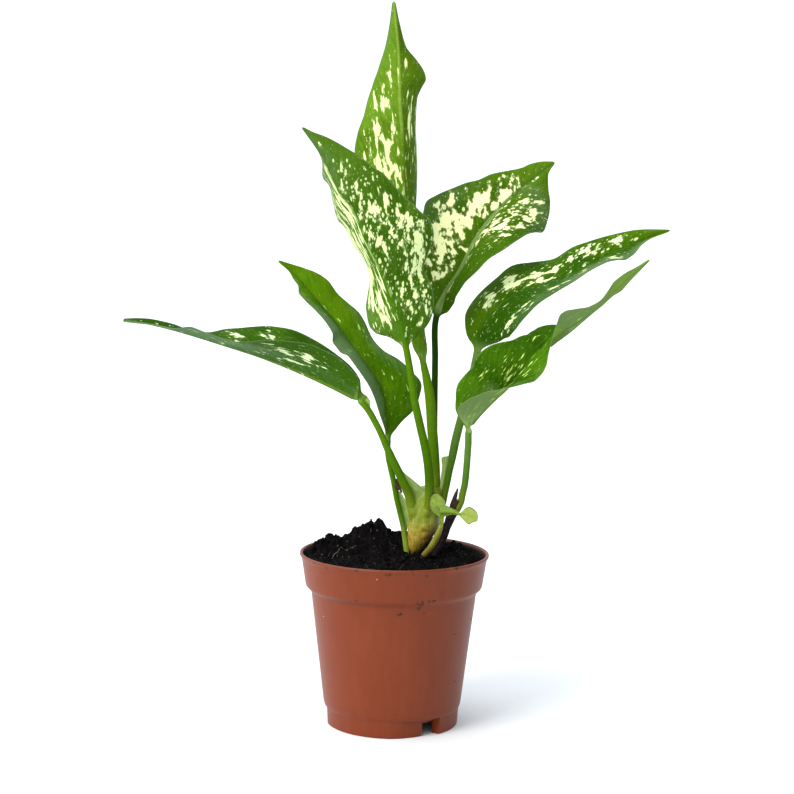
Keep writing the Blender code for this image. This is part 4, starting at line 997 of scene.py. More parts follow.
class SheetBody:
    """A leaf or scale: a stalk, round at its foot, that flattens into a thin blade."""

    HALF_COLUMNS = 16

    def __init__(self, shape: LeafShape, stations: tuple[int, int] = (90, 150)) -> None:
        """Prepare the body's centre line.

        Args:
            shape: the form.
            stations: how many rows of points the stalk and the blade get.
        """
        self.shape = shape
        self.stations = stations
        self.curve = Curve(shape.stalk + shape.rib[1:])
        self.base = self.curve.knots[len(shape.stalk) - 1]
        self.rib_length = self.curve.length - self.base
        self.steps = np.arange(-self.HALF_COLUMNS, self.HALF_COLUMNS + 1) / self.HALF_COLUMNS
        self.shares = np.sign(self.steps) * np.abs(self.steps) ** 1.25

    def half(self, margin: Row, side: int, bulge: float, wave: float) -> np.ndarray:
        """Points of one half of a blade section, rib to margin, as across and forward distances.

        Args:
            margin: the margin's across and forward distance.
            side: -1 for the left half, 1 for the right.
            bulge: how far the half is crowned, against its width.
            wave: how far the margin is lifted off the half's plane.

        Returns:
            One row for each share, the rib first.
        """
        reach = np.array([side * margin[0], margin[1]])
        width = max(float(np.linalg.norm(reach)), 0.2)
        lift = np.array([-side * reach[1], side * reach[0]]) / width
        share = self.shares[self.HALF_COLUMNS:, None]
        height = bulge * width * 4 * share * (1 - share) + wave * share * share
        return reach * share + lift * height

    def blade_line(self, share: float) -> np.ndarray:
        """The blade's middle surface at a share of the rib, left margin to right.

        Args:
            share: the share of the rib.

        Returns:
            One across and forward distance for each column.
        """
        margins = read_rows(self.shape.halves, share)
        height, count, phase = self.shape.ripple
        swell = math.sin(math.pi * min(max(share, 0.0), 1.0)) ** 0.5
        waves = [height * swell * math.sin(2 * math.pi * count * share + phase + turn)
                 for turn in (0.0, 2.0)]
        bulges = read_rows(self.shape.curl, share) + self.shape.bulge
        left = self.half(margins[:2], -1, bulges[0], waves[0])
        right = self.half(margins[2:], 1, bulges[1], waves[1])
        return np.vstack([left[:0:-1], right])

    def stalk_lines(self, share: float) -> tuple[np.ndarray, np.ndarray]:
        """The stalk's upper and lower rows at a share of its length, with its side wings.

        Args:
            share: the share of the stalk.

        Returns:
            The two rows, as across and forward distances.
        """
        radius = read_rows(self.shape.stalk_radius, share)[0]
        wings = read_rows(self.shape.sheath, share)
        angles = np.radians(90.0 - 87.0 * self.steps)
        across = radius * np.cos(angles)
        forward = radius * np.sin(angles)
        outer = np.clip((np.abs(self.steps) - 0.7) / 0.3, 0.0, 1.0)
        wing = np.where(self.steps < 0, wings[0], wings[1]) * (1 + 0.04 * math.sin(61.0 * share))
        spread = np.where(wing > 0.05, outer, 0.0)
        across = across + np.sign(self.steps) * wing * spread
        forward = forward * (1 - spread) + 0.2 * spread
        return np.column_stack([across, forward]), np.column_stack([across, -forward])

    def across_distances(self, line: np.ndarray) -> np.ndarray:
        """Signed distances along a section's surface, from the rib."""
        steps = np.linalg.norm(np.diff(line, axis=0), axis=1)
        lengths = np.concatenate([[0.0], np.cumsum(steps)])
        return lengths - lengths[self.HALF_COLUMNS]

    def rings(self) -> tuple[np.ndarray, np.ndarray]:
        """The body's rings, foot to tip, and each one's distance along the centre line."""
        distances = np.concatenate([
            np.linspace(0.0, self.base, self.stations[0], endpoint=False),
            self.base + np.linspace(0.0, TIP_SHARE, self.stations[1]) * self.rib_length])
        centres = np.array([self.curve.at(distance) for distance in distances])
        shares = (distances - self.base) / self.rib_length
        lines = np.array([self.blade_line(max(share, 0.0)) for share in shares])
        axes = [section_axes(self.curve.direction(distance)) for distance in distances]
        across = np.array([axis[0] for axis in axes])
        middle = centres[:, None] + across[:, None] * lines[:, :, :1] + FORWARD * lines[:, :, 1:]
        normals = surface_normals(middle)
        rows = []
        for index, share in enumerate(shares):
            sections = self.stalk_lines(distances[index] / self.base)
            turned = [centres[index] + row[:, :1] * axes[index][0] + row[:, 1:] * axes[index][1]
                      for row in sections]
            half = self.half_thickness(lines[index], share)
            blend = ease(share / BLEND_SHARE)
            front = turned[0] * (1 - blend) + (middle[index] + normals[index] * half[0]) * blend
            back = turned[1] * (1 - blend) + (middle[index] - normals[index] * half[1]) * blend
            rows.append(np.vstack([front, back[::-1], front[:1]]))
        self.across = np.array([self.across_distances(line) for line in lines])
        return np.array(rows), distances

    def half_thickness(self, line: np.ndarray, share: float) -> tuple[np.ndarray, np.ndarray]:
        """How far the front and the back lie off the middle surface at one section.

        Args:
            line: the section's middle line.
            share: the share of the rib.

        Returns:
            The two distances at each column.
        """
        taper = 1 - min(max(share, 0.0), 1.0)
        thin = BLADE_HALF_THICKNESS * (1 - 0.55 * np.abs(self.shares) ** 3)
        reach = self.across_distances(line)
        ridge = self.shape.ridge * (0.15 + 0.85 * taper) * np.exp(-(reach / 1.25) ** 2)
        groove = 0.15 * taper * np.exp(-(reach / 0.7) ** 2)
        faces = [thin + ridge, thin - groove]
        if self.shape.front is Face.UPPER:
            faces.reverse()
        return faces[0][:, None], faces[1][:, None]

    def build(self, name: str, look: LeafFinish | None = None) -> Item:
        """Model the body as one closed sleeve with its own coordinates on it.

        Args:
            name: the piece's name.
            look: the finish whose marks are laid out on it, on a full leaf.

        Returns:
            The object.
        """
        rings, distances = self.rings()
        ends = rings[0].mean(axis=0), self.curve.at(self.curve.length)
        foot, tip = (np.tile(end, (1, rings.shape[1], 1)) for end in ends)
        points = np.concatenate([foot, rings, tip])
        distances = np.concatenate([[0.0], distances, [self.curve.length]])
        across = np.vstack([self.across[:1], self.across, self.across[-1:]])
        across = np.hstack([across, across[:, ::-1], across[:, :1]])
        side = np.concatenate([self.shares, self.shares[::-1], self.shares[:1]])
        half = len(self.shares)
        along = distances - self.base
        share = np.where(along < 0, along / self.base, along / self.rib_length)
        blade, place, tint = (np.zeros(points.shape) for _ in Patch)
        blade[:, :, 0] = along[:, None]
        blade[:, :, 1] = across
        blade[:, :, 2] = [*[1] * half, *[-1] * half, 1]
        place[:, :, 0] = share[:, None]
        place[:, :, 1] = side[None, :]
        tint[:, :, 0] = [[1 - ease(value / (BLEND_SHARE * 1.2))] for value in share]
        if look is not None:
            for index, value in enumerate(share):
                if value > 0:
                    place[index, :, 2] = np.interp(side, FOUR_PLACES, read_rows(look.marks, value))
                    halves = read_rows(look.fresh_and_lit, value)
                    tint[index, :, 1] = np.interp(side, (-0.15, 0.15), halves)
                    tint[index, :, 2] = np.interp(side, FOUR_PLACES, read_rows(look.dull, value))
                elif value < 0:
                    tint[index, :, 2] = [self.film(value, part) for part in side]
            fade = np.array([ease((abs(value) - 0.8) / 0.2) for value in side])
            thick = 0.70 * place[:, :, 2] + 0.58 * self.clumps(look, along, across)
            place[:, :, 2] = np.minimum(thick, look.full) - look.margin * fade
        piece = roll_grid(name, points, blade=blade, place=place, tint=tint)
        smooth(piece, 75)
        return piece

    def film(self, share: float, side: float) -> float:
        """How pale the stalk is: only the thin wings beside it are.

        Args:
            share: share of the stalk's length, from -1 at its foot to 0.
            side: share of the half width, negative on the left.

        Returns:
            The paleness, from 0 to 1.
        """
        wing = read_rows(self.shape.sheath, 1 + share)[0 if side < 0 else 1]
        return 0.8 * ease((abs(side) - 0.55) / 0.3) if wing >= 0.3 else 0.0

    def clumps(self, look: LeafFinish, along: np.ndarray, across: np.ndarray) -> np.ndarray:
        """How much a finish's clusters add to the density of blotches over the body.

        Args:
            look: the finish.
            along: each row's distance along the rib.
            across: each point's signed distance from the rib.

        Returns:
            One value for each point.
        """
        total = np.zeros(across.shape)
        for share, side, reach, width, weight in look.clusters:
            centre = share * self.rib_length
            row = across[int(np.argmin(np.abs(along - centre))), :len(self.shares)]
            middle = float(np.interp(side, self.shares, row))
            gaps = ((along[:, None] - centre) / reach) ** 2 + ((across - middle) / width) ** 2
            total += weight * np.exp(-gaps)
        return total


@dataclass(frozen=True)
class Leaf:
    """One of the plant's full leaves: the CAD node that it replaces, its form and its finish."""

    node: str
    shape: LeafShape
    finish: LeafFinish

    def build(self) -> None:
        """Model the leaf and put it in place of the CAD one."""
        piece = SheetBody(self.shape).build("grown_" + self.node, self.finish)
        hand_over(piece, self.finish.material(self.node + "_skin"), self.node)


@dataclass(frozen=True)
class PlasticFinish:
    """Terracotta-coloured plastic with a faint dull sheen.

    stains are smudges of soil: angle from the front in degrees, height and reach.
    """

    body: Colour = (0.212, 0.034, 0.006)
    pale: Colour = (0.240, 0.044, 0.010)
    # The soil's colour, for the smudges and for the painted shade on the inner wall above the peat
    soil_and_shade: Colour = (0.014, 0.008, 0.005)
    stains: tuple[Row, ...] = ((5.1, 60.7, 1.5), (3.2, 60.4, 1), (15.2, 66.2, 1.2), (18, 65.6, 1.8),
                               (17.4, 63.4, 1.6), (22.6, 66.8, 1.2), (25.4, 66.9, 1))
    roughness: float = 0.42

    # The wall's radius at the stains in millimetres, and the height of the rim in metres
    WALL = 40.5
    RIM = (0.0745, 0.0815)

    def dirt_and_shade_share(self, recipe: Recipe, turn: Source) -> Socket:
        """Where the soil's colour goes: soil smudges at the rim and in the stains, and painted shade
        on the inner wall above the peat.

        Args:
            recipe: the material.
            turn: the angle round the pot.

        Returns:
            How much of the soil's colour shows.
        """
        place = recipe.place()
        x, y, z = recipe.split(place)
        smudge = recipe.noise(place, 330, 4, 0.65)
        rim = recipe.line(recipe.band(z, *self.RIM), 0.16, smudge)
        radius = recipe.math("SQRT", recipe.plus(recipe.times(x, x), recipe.times(y, y)))
        # Painted shade: the inner wall above the peat, in the shade of the pot's mouth, takes the
        # soil's dark colour
        inner = recipe.band(radius, 0.0432, 0.0436, 1, 0)
        inside = recipe.times(inner, recipe.band(z, 0.076, 0.078))
        dirt_and_shade_share = recipe.math("MAXIMUM", recipe.band(rim, 0.76, 0.84), inside)
        for angle, height, reach in self.stains:
            apart = recipe.times(recipe.math("SUBTRACT", turn, math.radians(angle - 90)), self.WALL)
            up = recipe.line(z, 1 / MM, -height)
            gap = recipe.plus(recipe.times(apart, apart), recipe.times(up, up))
            near = recipe.plus(recipe.band(gap, 0, reach * reach, 0.4, 0), smudge)
            dirt_and_shade_share = recipe.math("MAXIMUM", dirt_and_shade_share, recipe.band(near, 0.7, 0.9, 0, 0.8))
        return dirt_and_shade_share

    def material(self, name: str) -> Material:
        """The plastic, with faint drawn streaks, fine grain, soil smudges at the rim and painted shade
        on the inner wall above the peat.

        Args:
            name: the material's name.

        Returns:
            The material.
        """
        recipe = Recipe(name, self.roughness, 0.24)
        recipe.shader.inputs["Sheen Weight"].default_value = 0.02
        recipe.shader.inputs["Sheen Roughness"].default_value = 0.35
        recipe.shader.inputs["Sheen Tint"].default_value = (0.62, 0.66, 0.95, 1.0)
        place = recipe.place()
        x, y, z = recipe.split(place)
        turn = recipe.math("ARCTAN2", y, x)
        drawn = recipe.combine(recipe.times(turn, 9), recipe.times(z, 55))
        streaks = recipe.noise(drawn, 1, 3, 0.6)
        cloud = recipe.noise(place, 40, 3, 0.5)
        grain = recipe.noise(place, 1500, 2, 0.6)
        share = recipe.times(recipe.plus(streaks, cloud), 0.5)
        colour = recipe.mix(recipe.band(share, 0.35, 0.75), self.body, self.pale)
        colour = recipe.mix(recipe.times(self.dirt_and_shade_share(recipe, turn), 0.85), colour, self.soil_and_shade)
        recipe.bump(recipe.line(grain, 0.4, streaks), 0.12, 0.0003)
        return recipe.finish(colour, recipe.line(cloud, 0.12, self.roughness - 0.06))


def extrude_ring(rise: float, scale: float) -> None:
    """Extrude the selected ring by a rise in millimetres, and scale it about the axis."""
    bpy.ops.mesh.extrude_edges_move(TRANSFORM_OT_translate={"value": (0.0, 0.0, rise * MM)})
    bpy.ops.transform.resize(value=(scale, scale, 1.0), center_override=(0.0, 0.0, 0.0))


@dataclass(frozen=True)
class NurseryPot:
    """The plastic nursery pot: flared lip, deep collar, tapered wall and notched foot ring."""

    finish: PlasticFinish

    STEPS = 360
    FOOT_REACH = 30.0
    FOOT_TOP = 8.15

    # Three recesses in the foot ring: each deepens round the ring and ends in a notch
    THIRD = 120.0
    RECESS_SPAN = 44.0
    RECESS_DEPTH = 3.0
    NOTCH_SPAN = 15.0
    NOTCH_HEIGHT = 6.4
    NOTCH_REACH = (23.4, 35.4)

    # Drain holes: one in the middle of the floor, and three round it
    DRAIN_RADIUS = 3.0
    DRAIN_RING = 22.0
    DRAIN_TURN = 36.0

    # Section from the underside's middle out, down and up the wall, over the lip and back inside
    PROFILE = (
        (29.5, 7.6), (30.3, 7.58), (30.46, 7.45), (30.42, 7), (30.24, 1), (30.2, 0.35), (30.28, 0.1),
        (30.5, 0), (30.9, 0), (31.15, 0.05), (31.33, 0.25), (31.4, 0.6), (31.6, 3), (31.86, 7.6),
        (31.95, 8.1), (32.02, 8.25), (32.12, 8.42), (32.35, 8.75), (32.8, 10.4), (32.95, 11.3),
        (33.4, 15), (34.6, 25), (36.2, 38), (37.9, 52), (39, 61), (39.3, 63.4), (39.42, 63.85),
        (39.7, 64.12), (40.5, 64.9), (41.3, 65.7), (41.7, 66.1), (41.95, 66.55), (42.15, 67.3),
        (42.4, 69), (43, 73), (43.6, 77), (44.05, 79.3), (44.2, 79.7), (44.5, 80.2), (44.8, 80.75),
        (44.95, 81.15), (44.93, 81.55), (44.75, 81.85), (44.45, 82), (44.1, 82), (43.75, 81.85),
        (43.5, 81.5), (43.3, 80.8), (43, 79.5), (42.4, 75), (41.4, 69), (41, 68.3), (40.4, 66.9),
        (38.6, 65.2), (38.2, 64.6), (36, 45), (33.4, 22), (31.8, 11.6), (31.4, 10.2), (30.6, 9.4))
    OUTSIDE = slice(9, 42)
    FLOOR_RINGS = (0.82, 0.5, 0.2)

    # Specks of soil and of grit on the wall: angle from the front, height and half size
    SPECKS = {
        "pot_crumbs": ((19.7, 79.2, 0.34), (18.2, 66.9, 0.45), (26.7, 67, 0.4), (5.1, 60.7, 0.42),
                       (21, 61, 0.3), (49.5, 48.5, 0.36), (57.7, 24.4, 0.3), (74.9, 52.3, 0.34),
                       (11.5, 80.4, 0.3), (31, 70.5, 0.24), (-24, 66.8, 0.28), (-4, 79.6, 0.26)),
        "pot_grit": ((-10, 77.6, 0.3), (-58.2, 54.8, 0.34))}
    SPECK_SEEDS = {"pot_crumbs": (*range(40, 48), *range(50, 54)), "pot_grit": (48, 49)}
    SPECK_COLOURS = {"pot_crumbs": (0.018, 0.013, 0.011), "pot_grit": (0.72, 0.66, 0.58)}

    def recess(self, angle: float) -> float:
        """How deep the foot ring is set back at an angle from the front, in degrees.

        Args:
            angle: the angle.

        Returns:
            The depth in millimetres.
        """
        turn = angle % self.THIRD
        if turn <= self.RECESS_SPAN:
            return self.RECESS_DEPTH * turn / self.RECESS_SPAN
        return self.RECESS_DEPTH * max(1 - turn + self.RECESS_SPAN, 0.0)

    def shell(self) -> Item:
        """Turn the pot: a circle primitive extruded ring by ring along the section."""
        radius, height = self.PROFILE[0]
        deselect_all()
        bpy.ops.mesh.primitive_circle_add(vertices=self.STEPS, radius=radius * MM,
                                          fill_type="NOTHING", location=(0.0, 0.0, height * MM))
        pot = bpy.context.object
        name_piece(pot, "nursery_pot")
        pick(pot)
        bpy.ops.object.transform_apply(location=True, rotation=True, scale=True)
        with editing(pot):
            for near, far in zip(self.PROFILE[:-1], self.PROFILE[1:]):
                extrude_ring(far[1] - near[1], far[0] / near[0])
        for edge in (self.PROFILE[-1], self.PROFILE[0]):
            self.close_floor(pot, edge)
        close_up(pot)
        return pot

    def close_floor(self, pot: Item, edge: Row) -> None:
        """Close an open edge of the shell with level rings and a centre point.

        Args:
            pot: the open shell.
            edge: the open edge's radius and height.
        """
        points = coordinates(pot)
        radii = np.linalg.norm(points[:, :2], axis=1)
        chosen = np.abs(points[:, 2] - edge[1] * MM) < 1e-6
        chosen &= np.abs(radii - edge[0] * MM) < 1e-5
        with editing(pot, "DESELECT"):
            pass
        pot.data.vertices.foreach_set("select", chosen)
        for line in pot.data.edges:
            line.select = bool(chosen[line.vertices[0]] and chosen[line.vertices[1]])
        bpy.ops.object.mode_set(mode="EDIT")
        reached = 1.0
        for share in self.FLOOR_RINGS:
            extrude_ring(0.0, share / reached)
            reached = share
        bpy.ops.mesh.extrude_edges_move(TRANSFORM_OT_translate={"value": (0.0, 0.0, 0.0)})
        bpy.ops.mesh.merge(type="CENTER")
        bpy.ops.object.mode_set(mode="OBJECT")

    def build(self) -> None:
        """Model the pot and put it in place of the CAD one."""
        pot = self.shell()
        points = coordinates(pot)
        radii = np.linalg.norm(points[:, :2], axis=1)
        angles = np.degrees(np.arctan2(points[:, 0], -points[:, 1]))
        foot = (radii >= self.FOOT_REACH * MM) & (points[:, 2] <= self.FOOT_TOP * MM)
        for index in np.flatnonzero(foot):
            set_back = self.recess(float(angles[index])) * MM
            points[index, :2] *= (radii[index] - set_back) / radii[index]
        place_vertices(pot, points)
        thirds = [number * self.THIRD for number in range(3)]
        wedges = [self.wedge(start + self.RECESS_SPAN - 0.5) for start in thirds]
        drains = [around(self.DRAIN_RING, start + self.DRAIN_TURN) for start in thirds]
        for cutter in [*wedges, *(self.drain(*place) for place in [(0.0, 0.0), *drains])]:
            pick(cutter)
            bpy.ops.object.transform_apply(location=True, rotation=True, scale=True)
            close_up(cutter)
            cut(pot, cutter)
        smooth(pot, 35)
        hand_over(pot, self.finish.material("pot_plastic"), "pot")
        for name in self.SPECKS:
            self.specks(name)

    def wedge(self, end: float) -> Item:
        """The wedge that cuts the drainage notch ending at an angle in degrees.

        Args:
            end: the angle.

        Returns:
            The wedge.
        """
        deselect_all()
        bpy.ops.mesh.primitive_cube_add(size=1.0, location=(0.0, 0.0, 0.0))
        wedge = bpy.context.object
        shaped = []
        for x, y, z in coordinates(wedge):
            angle = end if y > 0 else end - self.NOTCH_SPAN
            across, deep = around(self.NOTCH_REACH[int(x > 0)], angle)
            shaped.append((across, deep, self.NOTCH_HEIGHT if z > 0 else -1.0))
        place_vertices(wedge, np.array(shaped) * MM)
        return wedge

    def drain(self, x: float, y: float) -> Item:
        """The cylinder that cuts one drain hole."""
        deselect_all()
        bpy.ops.mesh.primitive_cylinder_add(vertices=48, radius=self.DRAIN_RADIUS * MM, depth=8 * MM,
                                            location=(x * MM, y * MM, 8.5 * MM))
        return bpy.context.object

    def wall_radius(self, height: float) -> float:
        """The outer wall's radius at a height."""
        radii, heights = zip(*self.PROFILE[self.OUTSIDE])
        return float(np.interp(height, heights, radii))

    def specks(self, name: str) -> None:
        """Model the small crumbs of one kind that stick to the pot's wall.

        Args:
            name: the kind, a key of SPECKS.
        """
        crumbs = []
        for (angle, height, size), seed in zip(self.SPECKS[name], self.SPECK_SEEDS[name]):
            place = around(self.wall_radius(height) + 0.05, angle)
            crumbs.append(make_crumb((*place, height), size, seed))
        joined = join_pieces(crumbs, name)
        smooth(joined, 50)
        colour = self.SPECK_COLOURS[name]
        shade = tuple(0.55 * value for value in colour)
        hand_over(joined, GrainFinish(shade, colour, 2500).material(name + "_grain"))


@dataclass(frozen=True)
class SoilFinish:
    """Dark damp peat with small pale flecks: partly fibres, partly painted glints."""

    dark: Colour = (0.0012, 0.0012, 0.0015)
    brown: Colour = (0.014, 0.0095, 0.009)
    # Pale flecks: partly the peat's fibres, partly painted glints
    fibre_and_glint: Colour = (0.13, 0.11, 0.095)
    roughness: float = 0.75

    def material(self, name: str) -> Material:
        """The peat, mottled and deeply grained.

        Args:
            name: the material's name.

        Returns:
            The material.
        """
        recipe = Recipe(name, self.roughness, 0.05)
        place = recipe.place()
        cloud = recipe.noise(place, 160, 4, 0.65)
        grain = recipe.noise(place, 900, 4, 0.7)
        distance, colour = recipe.cells(place, 700)
        mottle = recipe.line(cloud, 0.6, recipe.times(grain, 0.4))
        shade = recipe.mix(recipe.band(mottle, 0.4, 0.7), self.dark, self.brown)
        # Pale flecks: partly the peat's fibres, partly painted glints on its crumbs
        chosen = recipe.band(recipe.split(colour)[0], 0.90, 0.95)
        flecks = recipe.times(chosen, recipe.band(distance, 0.15, 0.35, 1, 0))
        shade = recipe.mix(flecks, shade, self.fibre_and_glint)
        recipe.bump(recipe.line(cloud, 1.5, grain), 1.0, 0.0014)
        return recipe.finish(shade)


class Peat:
    """The peat that fills the pot: one closed body with heaps, crumbs, fibres and a pale root."""

    STEPS = 300
    RINGS = 110
    EDGE = 42.45
    LEVEL = 79.4
    LUMPS = 110

    # Section below the edge, as radius and height, down to the floor
    SIDE = ((41.2, 74), (40.6, 68.7), (40.1, 67.3), (37.9, 65), (31.4, 11.8), (30.3, 9.75))

    # Fine unevenness: how close its waves lie, and how high they are
    ROUGH = ((0.16, 1), (0.4, 1.2), (0.95, 0.8), (2.1, 0.35))

    # Where the heaps leave the level free, and how high the peat may stand beside the wall
    SHORE = 38.0
    SHORE_HEIGHT = 81.4

    CRUMBS = 420
    CRUMB_REACH = 41.2
    FIBRES = 14
    FIBRE_REACH = 36.0
    FIBRE_SKIN = GrainFinish((0.012, 0.009, 0.007), (0.09, 0.065, 0.05), 200, 2, 0.6)
    ROOT = ((-29.7, -11.8), (-28.6, -2), (-27, 4.6), (-25.6, 7.2), (-23.3, 9.4), (-20.9, 10.2),
            (-18.3, 10.2))
    ROOT_SKIN = GrainFinish((0.06, 0.045, 0.035), (0.26, 0.20, 0.15), 300, 4, 0.6, (0.35, 0.6), 0.8)
    STRAND_COLUMNS = 13

    def __init__(self, finish: SoilFinish, seed: int = 11) -> None:
        """Place the peat's small lumps.

        Args:
            finish: the peat's look.
            seed: what its lumps are drawn with.
        """
        self.finish = finish
        draw = random.Random(seed)
        lumps = []
        for _ in range(self.LUMPS):
            x, y = self.scatter(draw, 40.0)
            lumps.append((x, y, draw.uniform(-0.9, 1.5), draw.uniform(2.6, 4.6)))
        self.lumps = np.array([*SOIL_HEAPS, *lumps])

    @staticmethod
    def scatter(draw: random.Random, reach: float) -> tuple[float, float]:
        """A random place within a reach of the middle."""
        angle = draw.uniform(0.0, 2 * math.pi)
        distance = reach * math.sqrt(draw.random())
        return distance * math.cos(angle), distance * math.sin(angle)

    def height(self, x: float, y: float) -> float:
        """The peat's height at a point, with its fine unevenness.

        Args:
            x: across.
            y: away from the front.

        Returns:
            The height in millimetres.
        """
        lumps = self.lumps
        gaps = ((x - lumps[:, 0]) ** 2 + (y - lumps[:, 1]) ** 2) / lumps[:, 3] ** 2
        smooth_height = self.LEVEL + float(np.sum(lumps[:, 2] * np.exp(-gaps)))
        radius = math.hypot(x, y)
        room = 1 - ease((radius - self.SHORE) / 4.0)
        rough = 0.0
        for scale, size in self.ROUGH:
            value = noise.noise(Vector((x * scale, y * scale, 3.1 + scale)))
            rough += size * (0.5 - abs(value) * 2.2)
        height = smooth_height + rough * (0.35 + 0.65 * room)
        return height if radius < self.SHORE else min(height, self.SHORE_HEIGHT + 4.0 * room)

    def body(self) -> Item:
        """The closed body of peat."""
        angles = turn_angles(self.STEPS + 1)
        circle = [(math.cos(angle), math.sin(angle)) for angle in angles]
        rows = [[(0.0, 0.0, self.height(0.0, 0.0))] * len(circle)]
        for radius in self.EDGE * (np.arange(1, self.RINGS + 1) / self.RINGS) ** 0.85:
            ring = [(radius * x, radius * y) for x, y in circle]
            rows.append([(x, y, self.height(x, y)) for x, y in ring])
        for radius, height in self.SIDE:
            rows.append([(radius * x, radius * y, height) for x, y in circle])
        rows.append([(0.0, 0.0, self.SIDE[-1][1])] * len(circle))
        peat = roll_grid("potting_peat", np.array(rows))
        smooth(peat, 80)
        return peat

    def build(self) -> None:
        """Model the peat and everything that lies loose on it."""
        material = self.finish.material("peat")
        hand_over(self.body(), material, "soil")
        hand_over(self.crumbs(), material)
        hand_over(self.root(), self.ROOT_SKIN.material("surface_root_skin"))
        hand_over(self.fibres(), self.FIBRE_SKIN.material("peat_fibre"))

    def crumbs(self) -> Item:
        """Loose crumbs over the peat, from a few modelled ones that are copied and joined."""
        draw = random.Random(5)
        patterns = [make_crumb((0.0, 0.0, 0.0), 1.0, seed) for seed in range(6)]
        models = [coordinates(pattern) for pattern in patterns]
        found = []
        for number in range(self.CRUMBS):
            copy = patterns[number % len(patterns)].copy()
            copy.data = copy.data.copy()
            bpy.context.collection.objects.link(copy)
            x, y = self.scatter(draw, self.CRUMB_REACH)
            size = 0.28 + 0.95 * draw.random() ** 2.4
            turn = Matrix.Rotation(draw.uniform(0, 6.28), 3, "Z")
            turn = turn @ Matrix.Rotation(draw.uniform(0, 3), 3, "X")
            shape = models[number % len(models)] @ np.array(turn).T * size
            centre = np.array((x, y, self.height(x, y) + 0.25 * size))
            place_vertices(copy, shape + centre * MM)
            found.append(copy)
        for pattern in patterns:
            bpy.data.objects.remove(pattern, do_unlink=True)
        joined = join_pieces(found, "peat_crumbs")
        smooth(joined, 50)
        return joined

    def strand(self, name: str, line: Sequence[Row], radius: float, stations: int) -> Item:
        """A thin round strand along a line.

        Args:
            name: the strand's name.
            line: the points that it runs through.
            radius: its radius at the thickest.
            stations: how many rings it gets.

        Returns:
            The strand.
        """
        curve = Curve(line)
        angles = turn_angles(self.STRAND_COLUMNS)
        rows = [[curve.at(0.0)] * len(angles)]
        for distance in np.linspace(0.0, curve.length, stations):
            direction = curve.direction(distance, 0.6)
            side = np.cross(direction, (0.0, 0.0, 1.0))
            side /= np.linalg.norm(side)
            up = np.cross(side, direction)
            centre = curve.at(distance)
            swell = math.sin(math.pi * (0.04 + 0.92 * distance / curve.length)) ** 0.5
            width = radius * (0.35 + 0.65 * swell) * (1 + 0.15 * noise.noise(Vector(centre) * 0.8))
            rows.append([centre + width * (side * math.cos(angle) + up * math.sin(angle))
                         for angle in angles])
        rows.append([curve.at(curve.length)] * len(angles))
        piece = roll_grid(name, np.array(rows))
        smooth(piece, 80)
        return piece

    def root(self) -> Item:
        """The thin pale root that runs over the peat at the left."""
        line = [(x, y, self.height(x, y) + 0.45) for x, y in self.ROOT]
        return self.strand("surface_root", line, 0.17, 90)

    def fibres(self) -> Item:
        """Short brown fibres scattered over the peat."""
        draw = random.Random(23)
        found = []
        for number in range(self.FIBRES):
            x, y = self.scatter(draw, self.FIBRE_REACH)
            turn = draw.uniform(0.0, 2 * math.pi)
            bend = draw.uniform(-0.5, 0.5)
            reach = draw.uniform(0.9, 2.2)
            line = []
            for step in range(4):
                x += reach * math.cos(turn + bend * step)
                y += reach * math.sin(turn + bend * step)
                line.append((x, y, self.height(x, y) + 0.3 + draw.uniform(0.0, 0.8)))
            found.append(self.strand(f"fibre_{number}", line, draw.uniform(0.08, 0.16), 16))
        return join_pieces(found, "peat_fibres")


@dataclass(frozen=True)
class CrownFinish:
    """The crown's skin: yellow brown and blotched below, pale olive green above."""

    # Dark brown: the foot's own colour, and also the painted shade low on the right
    foot: Colour = (0.060, 0.030, 0.012)
    bulb: Colour = (0.46, 0.315, 0.030)
    high: Colour = (0.225, 0.290, 0.012)
    # Pale: the fibres' own colour, and the painted highlights in patches
    pale: Colour = (0.42, 0.40, 0.13)
    scar: Colour = (0.085, 0.050, 0.014)
    roughness: float = 0.42

    def material(self, name: str) -> Material:
        """Colour by height, with fine lengthwise lines, painted highlights in pale patches, dark
        blotches and painted shade.

        Args:
            name: the material's name.

        Returns:
            The material.
        """
        recipe = Recipe(name, self.roughness)
        place = recipe.place()
        x, y, z = recipe.split(place)
        cloud = recipe.noise(place, 170, 4, 0.6)
        lines = recipe.fibres(1300, 75, 3, 0.6)
        level = recipe.line(cloud, 0.014, recipe.plus(z, -0.007))
        low = recipe.band(level, 0.090, 0.098, 1, 0.25)
        colour = recipe.mix(recipe.band(level, 0.079, 0.086), self.foot, self.bulb)
        colour = recipe.mix(recipe.band(level, 0.088, 0.101), colour, self.high)
        # Painted highlights: pale patches over the lower skin
        highlight_patches = recipe.noise(recipe.combine(x, y, recipe.times(z, 0.4)), 420, 3, 0.6)
        scars = recipe.noise(recipe.combine(y, x, recipe.times(z, 0.5)), 380, 3, 0.65)
        # Painted shade: low on the right, beside the young shoot's stalk, the skin takes the foot's
        # dark brown
        shaded = recipe.band(recipe.line(z, -0.55, x), -0.0385, -0.0325, 0, 0.9)
        for share, shade in ((recipe.band(highlight_patches, 0.54, 0.70, 0, 0.4), self.pale),
                             (recipe.band(scars, 0.50, 0.70, 0, 0.65), self.scar),
                             (shaded, self.foot)):
            colour = recipe.mix(recipe.times(share, low), colour, shade)
        colour = recipe.mix(recipe.band(lines, 0.56, 0.74, 0, 0.45), colour, self.pale)
        recipe.bump(recipe.plus(lines, cloud), 0.4, 0.0006)
        return recipe.finish(recipe.scale(colour, recipe.plus(lines, 0.52)))


